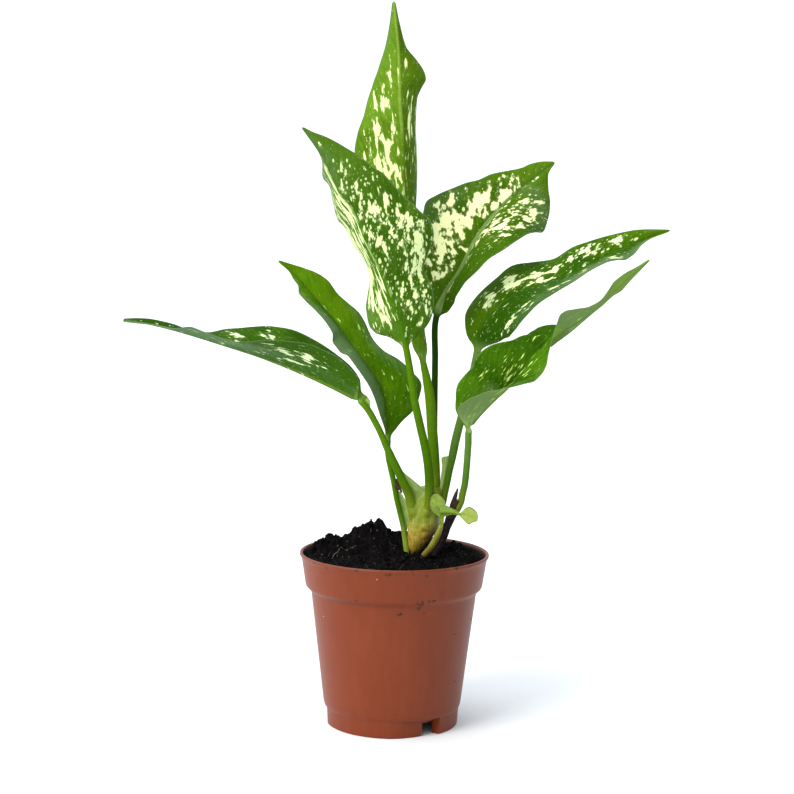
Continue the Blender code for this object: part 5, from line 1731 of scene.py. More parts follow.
@dataclass(frozen=True)
class Crown:
    """The plant's short swollen base, whose skin runs up over the feet of the stalks."""

    finish: CrownFinish

    STEPS = 216
    STATIONS = 170

    # Root buds: angle from the front in degrees, height, how far they stand out, reach
    KNOBS = ((-62, 89.5, 0.5, 1.9), (-25, 86.8, 0.45, 1.7), (14, 90, 0.35, 1.6), (40, 87, 0.5, 1.6),
             (-80, 93.5, 0.35, 1.5), (-44, 92.8, 0.3, 1.3), (72, 92.5, 1, 3.4), (-5, 94.6, 0.3, 1.2),
             (120, 90, 0.7, 1.8), (165, 88, 0.8, 1.8), (-130, 90, 0.8, 1.8))

    # Millimetres round the crown for each degree
    PER_DEGREE = 0.115

    # How thick the skin lies over the stalks' feet, by height, and which stalks it covers
    COVER = ((94, 0.5), (99, 0.5), (103, 0.25), (107.5, -0.9), (112.8, -1.5))
    COVER_FROM = 93.0
    HELD = ("leaf_top", "leaf_front", "leaf_back_right", "leaf_left")
    BLUR = (0.06, 0.24, 0.4, 0.24, 0.06)

    def build(self) -> None:
        """Model the crown and put it in place of the CAD one."""
        table = [(row[2], row[0], row[1], row[3], row[4]) for row in CROWN]
        angles = np.linspace(0.0, 2 * math.pi, self.STEPS, endpoint=False)
        heights = np.linspace(table[0][0], table[-1][0], self.STATIONS)
        sections = np.array([read_rows(table, height) for height in heights])
        reach = [self.section(row, height, angles) for row, height in zip(sections, heights)]
        reach = self.blur(self.blur(np.array(reach)))
        rows = []
        for height, section, radii in zip(heights, sections, reach):
            ring = []
            for angle, radius in zip(angles, radii):
                radius += self.knob_height(math.degrees(angle), height) + self.roughness(angle, height)
                ring.append((section[0] + radius * math.cos(angle),
                             section[1] + radius * math.sin(angle), height))
            rows.append([*ring, ring[0]])
        ends = [[(*sections[index][:2], heights[index])] * (self.STEPS + 1) for index in (0, -1)]
        crown = roll_grid("grown_crown", np.array([ends[0], *rows, ends[1]]))
        smooth(crown, 70)
        hand_over(crown, self.finish.material("crown_skin"), "crown")

    def section(self, row: np.ndarray, height: float, angles: np.ndarray) -> np.ndarray:
        """How far the skin reaches at each angle: round the crown and the stalks' feet.

        Args:
            row: the crown's centre and half widths at the height.
            height: the height.
            angles: the angles, in radians.

        Returns:
            One distance from the centre for each angle.
        """
        across, deep = row[2:]
        swell = 1 + 0.05 * np.cos(5 * angles + 0.05 * height)
        reach = swell / np.sqrt((np.cos(angles) / across) ** 2 + (np.sin(angles) / deep) ** 2)
        if height < self.COVER_FROM:
            return reach
        cover = read_rows(self.COVER, height)[0]
        for name in self.HELD:
            shape = LEAF_SHAPES[name]
            levels = np.array(shape.stalk)
            place = [np.interp(height, levels[:, 2], levels[:, axis]) for axis in (0, 1)]
            gap = np.array(place) - row[:2]
            radius = shape.stalk_radius[0][1] + cover
            towards = gap[0] * np.cos(angles) + gap[1] * np.sin(angles)
            inside = radius ** 2 - (gap @ gap - towards ** 2)
            exits = np.where(inside > 0, towards + np.sqrt(np.maximum(inside, 0.0)), 0.0)
            reach = np.maximum(reach, exits)
        return reach

    def blur(self, reach: np.ndarray) -> np.ndarray:
        """Soften the skin's distances round the crown and up it.

        Args:
            reach: the distances, a row for each height.

        Returns:
            The softened distances.
        """
        turned = sum(weight * np.roll(reach, 2 * shift, axis=1)
                     for shift, weight in enumerate(self.BLUR, -2))
        padded = np.pad(turned, ((2, 2), (0, 0)), mode="edge")
        return sum(weight * padded[shift:shift + len(reach)] for shift, weight in enumerate(self.BLUR))

    def knob_height(self, angle: float, height: float) -> float:
        """How far the root buds stand out at an angle in degrees and a height.

        Args:
            angle: the angle.
            height: the height.

        Returns:
            How far, in millimetres.
        """
        rise = 0.0
        for turn, level, size, reach in self.KNOBS:
            apart = (angle + 90.0 - turn + 180.0) % 360.0 - 180.0
            gap = apart * self.PER_DEGREE
            rise += size * math.exp(-(gap * gap + (height - level) ** 2) / (reach * reach))
        return rise

    @staticmethod
    def roughness(angle: float, height: float) -> float:
        """The faint leaf scars and fine unevenness, in millimetres.

        Args:
            angle: the angle in radians.
            height: the height.

        Returns:
            The unevenness in millimetres.
        """
        wander = 1.6 * math.sin(angle + 0.7) + 0.8 * math.sin(2 * angle)
        scar = -0.08 * math.exp(-(((height + wander - 83.0) % 5.1 - 2.5) / 0.3) ** 2)
        point = Vector((6 * math.cos(angle), 6 * math.sin(angle), height))
        rough = 0.22 * noise.noise(point * 0.4) + 0.07 * noise.noise(point * 1.5)
        return (scar if height < 97 else 0.0) + rough


@dataclass(frozen=True)
class StemFinish:
    """A withered, dark and fibrous skin."""

    dark: Colour = (0.007, 0.0020, 0.0040)
    light: Colour = (0.034, 0.012, 0.011)
    top: Colour = (0.070, 0.032, 0.012)
    roughness: float = 0.75

    def material(self, name: str) -> Material:
        """Lengthwise fibres in two browns, paler at the top.

        Args:
            name: the material's name.

        Returns:
            The material.
        """
        recipe = Recipe(name, self.roughness)
        place = recipe.place()
        lines = recipe.fibres(900, 130, 4, 0.65)
        cloud = recipe.noise(place, 160, 3, 0.6)
        share = recipe.line(lines, 0.55, recipe.times(cloud, 0.45))
        recipe.bump(lines, 0.5, 0.0006)
        colour = recipe.mix(recipe.band(share, 0.38, 0.68), self.dark, self.light)
        high = recipe.band(recipe.split(place)[2], 0.097, 0.104, 0, 0.75)
        return recipe.finish(recipe.mix(recipe.times(high, share), colour, self.top))


@dataclass(frozen=True)
class ShootFinish:
    """Young yellow-green growth, dark where it leaves the soil."""

    foot: Colour = (0.16, 0.085, 0.010)
    stalk: Colour = (0.24, 0.24, 0.018)
    leaf: Colour = (0.19, 0.31, 0.020)
    pale: Colour = (0.37, 0.46, 0.055)
    yellow: Colour = (0.40, 0.48, 0.075)
    edge: Colour = (0.16, 0.17, 0.03)
    low: float = 0.082
    high: float = 0.092
    roughness: float = 0.42

    def material(self, name: str) -> Material:
        """Colour by height and along the blade, with fine veins.

        Args:
            name: the material's name.

        Returns:
            The material.
        """
        recipe = Recipe(name, self.roughness, 0.35)
        along, across, _ = recipe.attribute(Patch.BLADE)
        share, side, _ = recipe.attribute(Patch.PLACE)
        place = recipe.place()
        x, _, z = recipe.split(place)
        cloud = recipe.noise(place, 260, 3, 0.6)
        slanted = recipe.line(recipe.size(across), -1.2, along)
        veins = recipe.math("SINE", recipe.line(cloud, 5, recipe.times(slanted, 4.2)))
        risen = recipe.band(recipe.line(cloud, 0.006, z), self.low, self.high)
        colour = recipe.mix(risen, self.foot, self.stalk)
        colour = recipe.mix(recipe.band(z, 0.094, 0.101), colour, self.leaf)
        clear = recipe.noise(recipe.combine(along, across), 0.5, 3, 0.6)
        inner = recipe.times(recipe.band(share, 0.05, 0.5), recipe.band(clear, 0.35, 0.65))
        colour = recipe.mix(recipe.times(inner, 0.6), colour, self.pale)
        tip = recipe.times(recipe.band(x, 0.029, 0.033), 0.7)
        colour = recipe.mix(tip, colour, self.yellow)
        worn = recipe.band(cloud, 0.3, 0.6, 0.3, 0.9)
        edge = recipe.times(recipe.band(recipe.size(side), 0.80, 0.95), worn)
        colour = recipe.mix(edge, colour, self.edge)
        tone = recipe.line(veins, 0.09, recipe.line(cloud, 0.7, 0.65))
        recipe.bump(recipe.plus(veins, cloud), 0.2, 0.0003)
        return recipe.finish(recipe.scale(colour, tone))


@dataclass(frozen=True)
class ScaleFinish:
    """A dried scale leaf: thin, brown and papery."""

    dark: Colour = (0.035, 0.016, 0.004)
    light: Colour = (0.12, 0.07, 0.02)
    roughness: float = 0.7

    def material(self, name: str) -> Material:
        """Brown with paler ribs along its length.

        Args:
            name: the material's name.

        Returns:
            The material.
        """
        recipe = Recipe(name, self.roughness)
        across = recipe.attribute(Patch.BLADE)[1]
        cloud = recipe.noise(recipe.place(), 350, 4, 0.65)
        ribs = recipe.math("SINE", recipe.times(across, 9))
        share = recipe.line(ribs, 0.12, cloud)
        recipe.bump(share, 0.4, 0.0004)
        return recipe.finish(recipe.mix(recipe.band(share, 0.35, 0.65), self.dark, self.light))


@dataclass(frozen=True)
class OldStem:
    """The withered old stem, wrinkled lengthwise, and its dried sheath."""

    finish: StemFinish

    STEPS = 72
    STATIONS = 110
    SHEATH_GRID = (16, 60)

    def build(self) -> None:
        """Model the stem and sheath and put them in place of the CAD one."""
        curve = Curve([row[:3] for row in OLD_STEM])
        table = [(distance, row[3]) for distance, row in zip(curve.knots, OLD_STEM)]
        angles = turn_angles(self.STEPS + 1)
        rows = [[curve.at(0.0)] * len(angles)]
        for distance in np.linspace(0.0, curve.length, self.STATIONS):
            radius = read_rows(table, distance)[0]
            centre = curve.at(distance)
            ring = []
            for angle in angles:
                x, y = math.cos(angle), math.sin(angle)
                wrinkle = 0.10 * math.cos(9 * angle + 0.09 * distance)
                wrinkle += 0.06 * math.cos(17 * angle + 1.0)
                rough = 0.25 * noise.noise(Vector((3 * x, 3 * y, distance)) * 0.5)
                ring.append(centre + (radius + wrinkle + rough) * np.array((x, y, 0.0)))
            rows.append(ring)
        rows.append([curve.at(curve.length)] * len(angles))
        stem = roll_grid("withered_stem", np.array(rows))
        sheath = SheetBody(OLD_SHEATH, self.SHEATH_GRID).build("withered_sheath")
        joined = join_pieces([stem, sheath], "withered_stem")
        smooth(joined, 60)
        hand_over(joined, self.finish.material("withered_skin"), "old_stem")


@dataclass(frozen=True)
class YoungShoot:
    """The young shoot: a stalk that ends in a pale bract, and a small side leaf."""

    finish: ShootFinish

    BRACT_GRID = (50, 60)
    LEAF_GRID = (30, 60)

    def build(self) -> None:
        """Model the shoot and put it in place of the CAD one."""
        bract = SheetBody(SHOOT_BRACT, self.BRACT_GRID).build("sprouting_shoot")
        leaf = SheetBody(SHOOT_LEAF, self.LEAF_GRID).build("sprouting_leaf")
        joined = join_pieces([bract, leaf], "sprouting_shoot")
        smooth(joined, 70)
        hand_over(joined, self.finish.material("shoot_skin"), "young_shoot")


@dataclass(frozen=True)
class DryScale:
    """The small dried scale beside the back left leaf's stalk."""

    finish: ScaleFinish

    GRID = (12, 60)

    def build(self) -> None:
        """Model the scale and put it in place of the CAD one."""
        scale = SheetBody(DRY_SCALE, self.GRID).build("papery_scale")
        hand_over(scale, self.finish.material("papery_skin"), "dry_scale")


LEAF_TOP_LOOK = LeafFinish(
    deep=(0.085, 0.175, 0.004), light=(0.15, 0.3, 0.016), cream=(0.82, 0.9, 0.4),
    grey=(0.13, 0.22, 0.07), behind=(0.09, 0.19, 0.03),
    rib=((0.12, 0.24, 0.004), (0.34, 0.52, 0.08)),
    stalk=((0.05, 0.13, 0.002), (0.12, 0.25, 0.006)),
    marks=(
        (0, 0.3, 0.4, 0.2, 0.3), (0.3, 0.5, 0.5, 0.3, 0.5), (0.44, 0.5, 0.6, 0.3, 0.6),
        (0.54, 0.5, 0.6, 0.3, 0.6), (0.6, 0.35, 0.45, 0.3, 0.5), (0.7, 0.25, 0.3, 0.3, 0.4),
        (0.77, 0.1, 0.3, 0.3, 0.1), (0.86, 0, 0.1, 0.2, 0), (0.9, 0, 0, 0, 0), (1, 0, 0, 0, 0)),
    clusters=(
        (0.755, -0.55, 6, 1.4, 1.4), (0.765, -0.25, 4, 1.3, 1.3), (0.715, -0.72, 5, 1.6, 1.3),
        (0.725, -0.35, 3, 1.2, 1), (0.63, -0.72, 4.5, 1.4, 0.9), (0.635, -0.45, 4.5, 2.4, 0.9),
        (0.63, -0.18, 4.5, 1.6, 0.9), (0.59, -0.34, 5, 2, 0.8), (0.565, -0.58, 3.5, 3, 0.9),
        (0.54, -0.4, 4, 2.5, 0.9), (0.53, -0.18, 6, 2.4, 0.8), (0.5, -0.3, 5, 2.5, 0.6),
        (0.81, -0.45, 2.8, 1.2, 1.2), (0.835, 0.35, 2.4, 1, 1), (0.68, 0.38, 9, 1.6, 2),
        (0.68, 0.85, 10, 1.2, 1.9), (0.62, 0.8, 6, 0.8, 0.7)),
    fresh_and_lit=(
        (0, 0.5, 0.2), (0.45, 0.5, 0.2), (0.62, 0.6, 0.2), (0.78, 0.7, 0.2), (0.9, 0.75, 0.2),
        (1, 0.5, 0.1)),
    dull=(
        (0, 0, 0, 0.3, 0.6), (0.55, 0, 0, 0.1, 0.5), (0.72, 0.1, 0, 0, 0.2), (0.8, 0.2, 0, 0, 0.3),
        (0.95, 0.6, 0, 0, 0.4), (1, 0.7, 0.3, 0.3, 0.5)),
    spot=(9.5, 2.8, 9.5, 2.2), lean=(6, 4), seed=1, rib_width=1.2, rib_share=0.55,
    rib_turn=(0.6, 0.66), dots=0.5, foot=(0.102, 0.13, 0.95))
LEAF_FRONT_LOOK = LeafFinish(
    deep=(0.045, 0.125, 0.003), light=(0.092, 0.205, 0.012), cream=(0.8, 0.92, 0.42),
    grey=(0.16, 0.27, 0.1), behind=(0.09, 0.2, 0.03),
    rib=((0.065, 0.185, 0.003), (0.075, 0.17, 0.01)),
    stalk=((0.05, 0.13, 0.002), (0.09, 0.21, 0.004)),
    marks=(
        (0, 0.2, 0.2, 0.1, 0.2), (0.06, 0.5, 0.4, 0.2, 0.3), (0.12, 0.3, 0.3, 0.3, 0.7),
        (0.22, 0.45, 0.45, 0.45, 0.9), (0.28, 0.8, 0.7, 0.55, 0.95), (0.4, 1.25, 0.9, 0.55, 0.85),
        (0.48, 1.25, 0.95, 0.5, 0.6), (0.6, 1, 0.95, 0.45, 0.55), (0.7, 0.6, 0.9, 0.5, 0.45),
        (0.8, 0.3, 0.6, 0.5, 0.25), (0.88, 0.1, 0.2, 0.1, 0), (1, 0, 0, 0, 0)),
    clusters=(
        (0.57, 0.28, 3, 6, 0.6), (0.53, 0.62, 2.5, 3.5, 0.6), (0.475, 0.6, 5, 3.5, 0.7),
        (0.46, 0.35, 5, 1.6, 0.6), (0.43, 0.18, 2.6, 1.6, 0.7), (0.4, 0.75, 6, 2, 0.4),
        (0.16, -0.45, 3.5, 2.2, 0.9), (0.22, -0.42, 5, 1.6, 0.9), (0.13, -0.7, 2.4, 2.4, 0.8),
        (0.25, -0.75, 6, 1.3, 0.9), (0.18, 0.25, 6, 2, 0.6), (0.76, 0.3, 5, 0.9, 0.5),
        (0.7, 0.35, 5, 1, 0.5), (0.64, 0.3, 3, 2.5, 0.4), (0.7, -0.15, 9, 0.8, 0.7)),
    fresh_and_lit=((0, 0.5, 0.4), (0.3, 0.5, 0.3), (0.6, 0.5, 0.4), (0.8, 0.5, 0.8), (1, 0.5, 0.9)),
    dull=(
        (0, 0.1, 0, 0, 0), (0.1, 0.3, 0, 0, 0), (0.5, 0.4, 0.3, 0, 0.1),
        (0.75, 0.7, 0.6, 0.2, 0.1), (0.9, 0.9, 0.8, 0.3, 0.1), (1, 0.9, 0.8, 0.3, 0.3)),
    spot=(11, 1.7, 6, 3), lean=(4, 24), seed=2, margin=0.3, full=0.95, rib_width=1, rib_share=0.8,
    dots=0.85)
LEAF_BACK_RIGHT_LOOK = LeafFinish(
    deep=(0.052, 0.135, 0.002), light=(0.11, 0.225, 0.008), cream=(0.97, 0.99, 0.5),
    grey=(0.12, 0.2, 0.09), behind=(0.08, 0.17, 0.03),
    rib=((0.29, 0.43, 0.13), (0.07, 0.16, 0.02)),
    # The stalk's colours are a dark green: painted shade, as it stands in shade behind the other
    # stalks
    stalk=((0.03, 0.062, 0.003), (0.016, 0.062, 0.003)),
    marks=(
        (0, 0, 0, 0, 0), (0.1, 0.1, 0, 0.3, 0.3), (0.17, 0.5, 0.2, 0.4, 0.3),
        (0.22, 0.7, 0.5, 0.4, 0.2), (0.3, 0.8, 0.7, 0.5, 0.1), (0.4, 0.8, 0.7, 0.6, 0),
        (0.5, 0.65, 0.65, 0.8, 0.6), (0.6, 0.65, 0.75, 0.8, 0.85), (0.7, 0.5, 0.65, 0.75, 0.7),
        (0.78, 0.45, 0.5, 0.6, 0.5), (0.85, 0.2, 0.3, 0.5, 0.4), (0.91, 0, 0, 0.1, 0),
        (1, 0, 0, 0, 0)),
    clusters=(
        (0.45, -0.6, 6, 5, 0.7), (0.45, -0.3, 5, 4, 0.5), (0.38, -0.72, 9, 5, 0.7),
        (0.3, -0.55, 6, 4, 0.6), (0.2, -0.75, 7, 5, 1), (0.34, -0.3, 5, 3, 0.5),
        (0.19, -0.35, 5, 1.5, 0.8), (0.49, -0.15, 3, 2, -1), (0.55, -0.04, 5, 2.2, -1),
        (0.42, -0.15, 4, 2, -0.8), (0.31, -0.12, 6, 2, -0.7), (0.6, -0.5, 5, 4, 0.6),
        (0.7, -0.22, 3.5, 3, 0.7), (0.73, -0.72, 2.2, 2, 0.6), (0.8, -0.6, 2.4, 2.2, 0.6),
        (0.68, 0.28, 3, 2.2, 0.7), (0.75, 0.5, 3, 3, 0.7), (0.66, 0.75, 4, 1.6, 0.6),
        (0.3, 0.45, 20, 2.6, -0.7), (0.55, 0.9, 14, 1.4, -0.4), (0.47, 0.35, 4, 1.3, 0.5)),
    fresh_and_lit=((0, 0.2, 0.1), (0.5, 0.3, 0.2), (0.85, 0.7, 0.6), (1, 1, 0.8)),
    dull=(
        (0, 0, 0, 0, 0.1), (0.45, 0.4, 0, 0, 0), (0.7, 0.2, 0, 0.1, 0.4),
        (0.8, 0.1, 0.1, 0.5, 0.5), (0.9, 0, 0, 0.2, 0.1), (1, 0, 0, 0, 0)),
    spot=(6.5, 4.6, 6.4, 3.2), lean=(42, 22), seed=3, rib_width=2.1, rib_turn=(0.56, 0.68),
    margin=0.5, dots=0.6, full=0.7, foot=(0.106, 0.15, 0.95), foot_colour=(0.17, 0.19, 0.022))
LEAF_RIGHT_UPPER_LOOK = LeafFinish(
    deep=(0.027, 0.095, 0.001), light=(0.078, 0.182, 0.002), cream=(0.84, 0.95, 0.48),
    grey=(0.13, 0.22, 0.085), behind=(0.08, 0.17, 0.03),
    rib=((0.05, 0.14, 0.004), (0.07, 0.17, 0.01)), stalk=((0.05, 0.13, 0.002), (0.15, 0.26, 0.05)),
    marks=(
        (0, 0, 0.1, 0.3, 0.2), (0.1, 0, 0.2, 0.2, 0.3), (0.17, 0.1, 0.35, 0, 0.3),
        (0.3, 0.1, 0.45, 0, 0.35), (0.45, 0.1, 0.45, 0, 0.35), (0.6, 0.3, 0.4, 0, 0.3),
        (0.75, 0.4, 0.4, 0, 0.3), (0.9, 0.4, 0.3, 0, 0), (0.95, 0, 0, 0, 0), (1, 0, 0, 0, 0)),
    clusters=(
        (0.19, -0.3, 4.5, 2.4, 0.9), (0.215, -0.52, 3, 2.4, 0.9), (0.22, -0.15, 3.5, 1.8, 0.7),
        (0.3, -0.62, 3.5, 2, 0.9), (0.285, -0.32, 3, 3.6, 0.7), (0.31, -0.22, 3, 1.8, 0.6),
        (0.32, -0.48, 3, 1.8, 0.5), (0.405, -0.36, 6, 2.4, 0.9), (0.42, -0.1, 4, 1.2, 0.6),
        (0.485, -0.3, 2, 3.4, 0.7), (0.545, -0.5, 6, 1.5, 0.9), (0.59, -0.28, 5, 1.2, 0.7),
        (0.64, -0.62, 6.5, 2, 1), (0.62, -0.12, 3, 1.2, 0.6), (0.73, -0.42, 7, 1.4, 0.6),
        (0.78, -0.66, 4, 1.1, 0.5), (0.82, -0.28, 4, 1.1, 0.5), (0.27, 0.72, 8, 1.3, 0.5),
        (0.2, 0.72, 12, 1.4, 0.6), (0.73, 0.65, 4.5, 1.8, 0.9), (0.12, 0.3, 4, 1, 0.4),
        (0.47, 0.8, 4, 1.2, 0.4)),
    fresh_and_lit=(
        (0, 0.8, 0), (0.1, 0.8, 0), (0.3, 0.5, 0), (0.6, 0.4, 0.2), (0.85, 0.8, 0.6),
        (0.94, 1.2, 1.2), (1, 1.9, 1.9)),
    dull=(
        (0, 0, 0, 0.2, 0.3), (0.1, 0, 0, 0, 0.2), (0.25, 0, 0, 0, 0.4), (0.45, 0, 0, 0.1, 0.5),
        (0.6, 0.2, 0, 0.2, 0.7), (0.85, 0.1, 0, 0.2, 0.7), (0.95, 0.5, 0, 0, 0.3),
        (1, 0.5, 0, 0, 0.3)),
    spot=(6.5, 3.6, 9, 2), lean=(12, 2), seed=4, rib_width=0.7, rib_share=0.6, margin=0.6,
    dots=0.75)
LEAF_RIGHT_LOWER_LOOK = LeafFinish(
    deep=(0.029, 0.096, 0.001), light=(0.066, 0.18, 0.003), cream=(0.55, 0.72, 0.16),
    grey=(0.18, 0.29, 0.09), behind=(0.19, 0.33, 0.055),
    rib=((0.06, 0.17, 0.004), (0.11, 0.2, 0.03)),
    stalk=((0.06, 0.155, 0.01), (0.115, 0.235, 0.032)),
    marks=(
        (0, 0, 0, 0, 0), (0.15, 0.1, 0.1, 0.1, 0.2), (0.25, 0.1, 0.2, 0.35, 0.2),
        (0.38, 0, 0.3, 0.35, 0.2), (0.46, 0, 0.1, 0.2, 0.1), (0.6, 0, 0, 0, 0), (1, 0, 0, 0, 0)),
    clusters=(
        (0.265, -0.66, 3.4, 2.2, 0.75), (0.19, -0.45, 2.4, 2.2, 0.6), (0.345, -0.42, 5, 0.8, 0.8),
        (0.3, -0.12, 6, 1.2, 0.8), (0.28, -0.22, 4, 1, 0.6), (0.36, 0.3, 4, 1.8, 0.7),
        (0.33, 0.12, 3, 1, 0.7)),
    fresh_and_lit=(
        (0, 0.5, 0.1), (0.12, 0.6, 0), (0.2, 0.2, 0), (0.35, 0.2, 0.5), (0.45, -0.1, 0.7),
        (1, 0.8, 0.8)),
    dull=(
        (0, 0.2, 0.3, 0.9, 0.9), (0.12, 0, 0.4, 0.9, 0.9), (0.2, 0, 0.4, 0.6, 0.9),
        (0.26, 0, 0, 0, 0.3), (0.45, 0, 0, 0, 0.2), (0.54, 0, 0, 0, 0.3),
        (0.57, 0.6, 0.6, 0.7, 0.9), (0.7, 0.6, 0.7, 0.7, 0.9), (0.82, 0.5, 0.2, 0.2, 0.5),
        (0.9, 0.4, 0, 0, 0.3), (1, 0.4, 0, 0, 0.2)),
    spot=(9, 1.8, 8, 1.6), lean=(4, 2), seed=5, rib_width=0.6, rib_share=0.5, dots=0.3)
LEAF_LEFT_BACK_LOOK = LeafFinish(
    deep=(0.048, 0.138, 0.001), light=(0.1, 0.225, 0.002), cream=(0.36, 0.54, 0.12),
    grey=(0.13, 0.23, 0.085), behind=(0.1, 0.2, 0.05),
    rib=((0.07, 0.19, 0.004), (0.09, 0.21, 0.01)), stalk=((0.06, 0.15, 0.002), (0.08, 0.2, 0.003)),
    marks=(
        (0, 0, 0, 0, 0), (0.15, 0, 0, 0.1, 0.2), (0.45, 0, 0, 0.2, 0.2), (0.6, 0, 0, 0, 0),
        (1, 0, 0, 0, 0)),
    clusters=(
        (0.52, 0.62, 3, 1.2, 0.9), (0.43, 0.72, 2.4, 1, 0.6), (0.6, 0.15, 3, 1, 0.6),
        (0.3, 0.3, 2.4, 1, 0.6), (0.2, 0.05, 2.4, 1, 0.6)),
    fresh_and_lit=((0, 0.4, 0.6), (0.3, 0.4, 0.2), (0.6, 0.3, 0.8), (0.9, 0.8, 0.9), (1, 0.6, 0.5)),
    dull=(
        (0, 0.3, 0.4, 0, 0.2), (0.2, 0.8, 0.5, 0, 0.3), (0.4, 1, 0.6, 0, 0.5),
        (0.6, 0.9, 0.4, 0, 0.3), (0.75, 0.5, 0, 0, 0.1), (0.9, 0.2, 0, 0, 0.1),
        (1, 0.1, 0, 0, 0.3)),
    spot=(5, 2.2, 5, 2.2), lean=(10, 10), seed=6, rib_width=0.6, rib_share=0.4,
    foot=(0.083, 0.102, 0.9), foot_colour=(0.26, 0.35, 0.045), dots=0.3)
LEAF_LEFT_LOOK = LeafFinish(
    deep=(0.028, 0.086, 0.002), light=(0.085, 0.19, 0.008), cream=(0.72, 0.84, 0.46),
    grey=(0.13, 0.23, 0.095), behind=(0.045, 0.125, 0.005),
    rib=((0.18, 0.3, 0.04), (0.14, 0.25, 0.09)), stalk=((0.06, 0.16, 0.001), (0.1, 0.22, 0.006)),
    marks=(
        (0, 0, 0, 0, 0), (0.15, 0, 0.1, 0, 0), (0.25, 0.2, 0.3, 0.1, 0.1),
        (0.35, 0.3, 0.35, 0.2, 0.1), (0.5, 0.2, 0.3, 0.3, 0.2), (0.6, 0.2, 0.3, 0.4, 0.3),
        (0.78, 0.3, 0.2, 0.1, 0), (0.85, 0.2, 0.1, 0.2, 0.1), (1, 0.1, 0, 0.3, 0.1)),
    clusters=(
        (0.425, 0.75, 4, 2.6, 1), (0.405, 0.58, 3, 1.6, 0.7), (0.575, 0.55, 5, 0.9, 0.9),
        (0.51, 0.42, 2, 0.8, 0.7), (0.37, -0.55, 5.5, 1.4, 0.95), (0.31, -0.42, 4.5, 1.2, 0.8),
        (0.3, -0.62, 3, 1, 0.8), (0.27, -0.56, 4, 1.3, 0.8), (0.25, -0.48, 4, 1.4, 0.8),
        (0.19, -0.45, 3.4, 1, 0.7), (0.29, -0.25, 5, 1, 0.5), (0.6, -0.4, 3, 0.8, 0.6),
        (0.71, 0.4, 3, 0.8, 0.4)),
    fresh_and_lit=(
        (0, 0.6, 0), (0.2, 0.6, 0.1), (0.4, 0.5, 0.3), (0.55, 0.4, 0.5), (0.7, 0.3, 0.1),
        (0.8, 0.3, 0), (0.95, 0.3, 0), (1, 0.3, 0.5)),
    dull=(
        (0, 0, 0.4, 0.2, 0.2), (0.12, 0, 0.3, 0.1, 0.2), (0.25, 0, 0.4, 0.1, 0.2),
        (0.4, 0.2, 0.6, 0, 0), (0.5, 0.4, 0.8, 0, 0), (0.62, 0.6, 0.9, 0, 0),
        (0.75, 0.9, 1, 0.2, 0), (0.85, 0.8, 0.8, 0.1, 0), (1, 0.7, 0.5, 0.1, 0)),
    spot=(8, 1.7, 9, 3.6), lean=(4, 4), seed=7, rib_width=0.8, rib_share=0.5, margin=0.3, dots=0.5)
LEAF_FINISHES = {
    "leaf_top": LEAF_TOP_LOOK, "leaf_front": LEAF_FRONT_LOOK,
    "leaf_back_right": LEAF_BACK_RIGHT_LOOK, "leaf_right_upper": LEAF_RIGHT_UPPER_LOOK,
    "leaf_right_lower": LEAF_RIGHT_LOWER_LOOK, "leaf_left_back": LEAF_LEFT_BACK_LOOK,
    "leaf_left": LEAF_LEFT_LOOK}




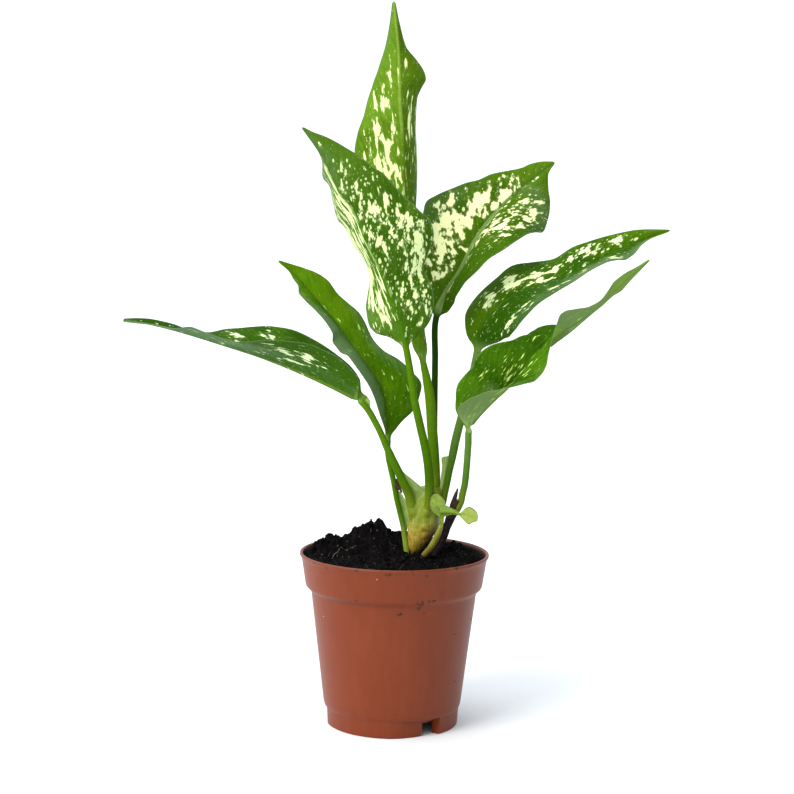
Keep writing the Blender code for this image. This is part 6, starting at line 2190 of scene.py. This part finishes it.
class Studio:
    """The plain pale floor, the soft light and the camera of the photograph."""

    FLOOR_SIZE = 60.0
    FLOOR_TONES = ((0.99, 0.995, 1.0), (1.0, 1.0, 1.0))
    FLOOR_SHARE = 0.80
    FOCAL = 80.72
    SENSOR = 36.0
    CAMERA = (0.0, -834.0, 245.3)
    PITCH = 6.11
    ROLL = 0.96
    KEY_FROM = (-0.56, -0.56, 0.62)
    KEY_STRENGTH = 2.10
    KEY_ANGLE = 28.0
    KEY_COLOUR = (1.0, 0.945, 0.89)
    ROOM_COLOUR = (0.93, 1.0, 1.06, 1.0)

    def build(self) -> None:
        """Set up the floor, surrounding light, key light and camera."""
        self.floor()
        self.world()
        self.key_light()
        self.camera()
        bpy.context.scene.view_settings.view_transform = "Standard"

    def floor(self) -> None:
        """A wide plain floor under the pot."""
        deselect_all()
        bpy.ops.mesh.primitive_plane_add(size=self.FLOOR_SIZE, location=(0.0, 0.0, 0.0))
        floor = bpy.context.object
        name_piece(floor, "studio_floor")
        recipe = Recipe("floor_paper", 0.95, 0.05)
        colour = recipe.mix(recipe.noise(recipe.place(), 0.6, 1, 0.3), *self.FLOOR_TONES)
        floor.data.materials.append(recipe.finish(colour, share=self.FLOOR_SHARE))

    def world(self) -> None:
        """A white wall behind, fading to a dimmer room in front and to the right."""
        world = bpy.data.worlds.new("surrounding")
        world.use_nodes = True
        nodes = Nodes(world.node_tree)
        x, y, z = nodes.split(nodes.add("TexCoord", {}).outputs["Generated"])
        room = nodes.line(z, 0.95, nodes.line(x, -0.95, 0.76))
        room = nodes.math("MAXIMUM", room, 0.12)
        background = world.node_tree.nodes["Background"]
        background.inputs["Color"].default_value = self.ROOM_COLOUR
        nodes.feed(background.inputs["Strength"], nodes.band(y, 0.55, 0.92, room, 1.25))
        bpy.context.scene.world = world

    def key_light(self) -> None:
        """One broad soft light from the upper left in front."""
        place = Vector(self.KEY_FROM)
        deselect_all()
        bpy.ops.object.light_add(type="SUN", location=place)
        light = bpy.context.object
        name_piece(light, "key_light")
        light.data.energy = self.KEY_STRENGTH
        light.data.angle = math.radians(self.KEY_ANGLE)
        light.data.color = self.KEY_COLOUR
        light.rotation_euler = (-place).to_track_quat("-Z", "Y").to_euler()

    def camera(self) -> None:
        """The camera where the photograph was taken from."""
        pitch, roll = math.radians(self.PITCH), math.radians(self.ROLL)
        forward = Vector((0.0, math.cos(pitch), -math.sin(pitch)))
        level = Vector((1.0, 0.0, 0.0))
        upright = Vector((0.0, math.sin(pitch), math.cos(pitch)))
        right = level * math.cos(roll) + upright * math.sin(roll)
        up = upright * math.cos(roll) - level * math.sin(roll)
        turn = Matrix((right, up, -forward)).transposed().to_4x4()
        deselect_all()
        bpy.ops.object.camera_add(location=(0.0, 0.0, 0.0))
        camera = bpy.context.object
        name_piece(camera, "photo_camera")
        camera.matrix_world = Matrix.Translation(Vector(self.CAMERA) * MM) @ turn
        camera.data.lens = self.FOCAL
        camera.data.sensor_width = self.SENSOR
        camera.data.clip_start = 0.01
        bpy.context.scene.camera = camera


class Plant:
    """Everything that is built, in order."""

    def build(self) -> None:
        """Build the pot, the peat, the base of the plant and its leaves."""
        NurseryPot(PlasticFinish()).build()
        Peat(SoilFinish()).build()
        Crown(CrownFinish()).build()
        OldStem(StemFinish()).build()
        YoungShoot(ShootFinish()).build()
        DryScale(ScaleFinish()).build()
        for node, shape in LEAF_SHAPES.items():
            Leaf(node, shape, LEAF_FINISHES[node]).build()


def remove_defaults() -> None:
    """Remove the start-up scene's own objects, if there are any."""
    for name in ("Cube", "Light", "Camera"):
        item = bpy.data.objects.get(name)
        if item is not None and item.type in {"MESH", "LIGHT", "CAMERA"}:
            bpy.data.objects.remove(item, do_unlink=True)


def main() -> None:
    """Build the whole scene."""
    logging.basicConfig(level=logging.INFO, format="%(name)s: %(message)s")
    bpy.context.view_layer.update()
    remove_defaults()
    Plant().build()
    Studio().build()
    deselect_all()


if __name__ == "__main__":
    main()
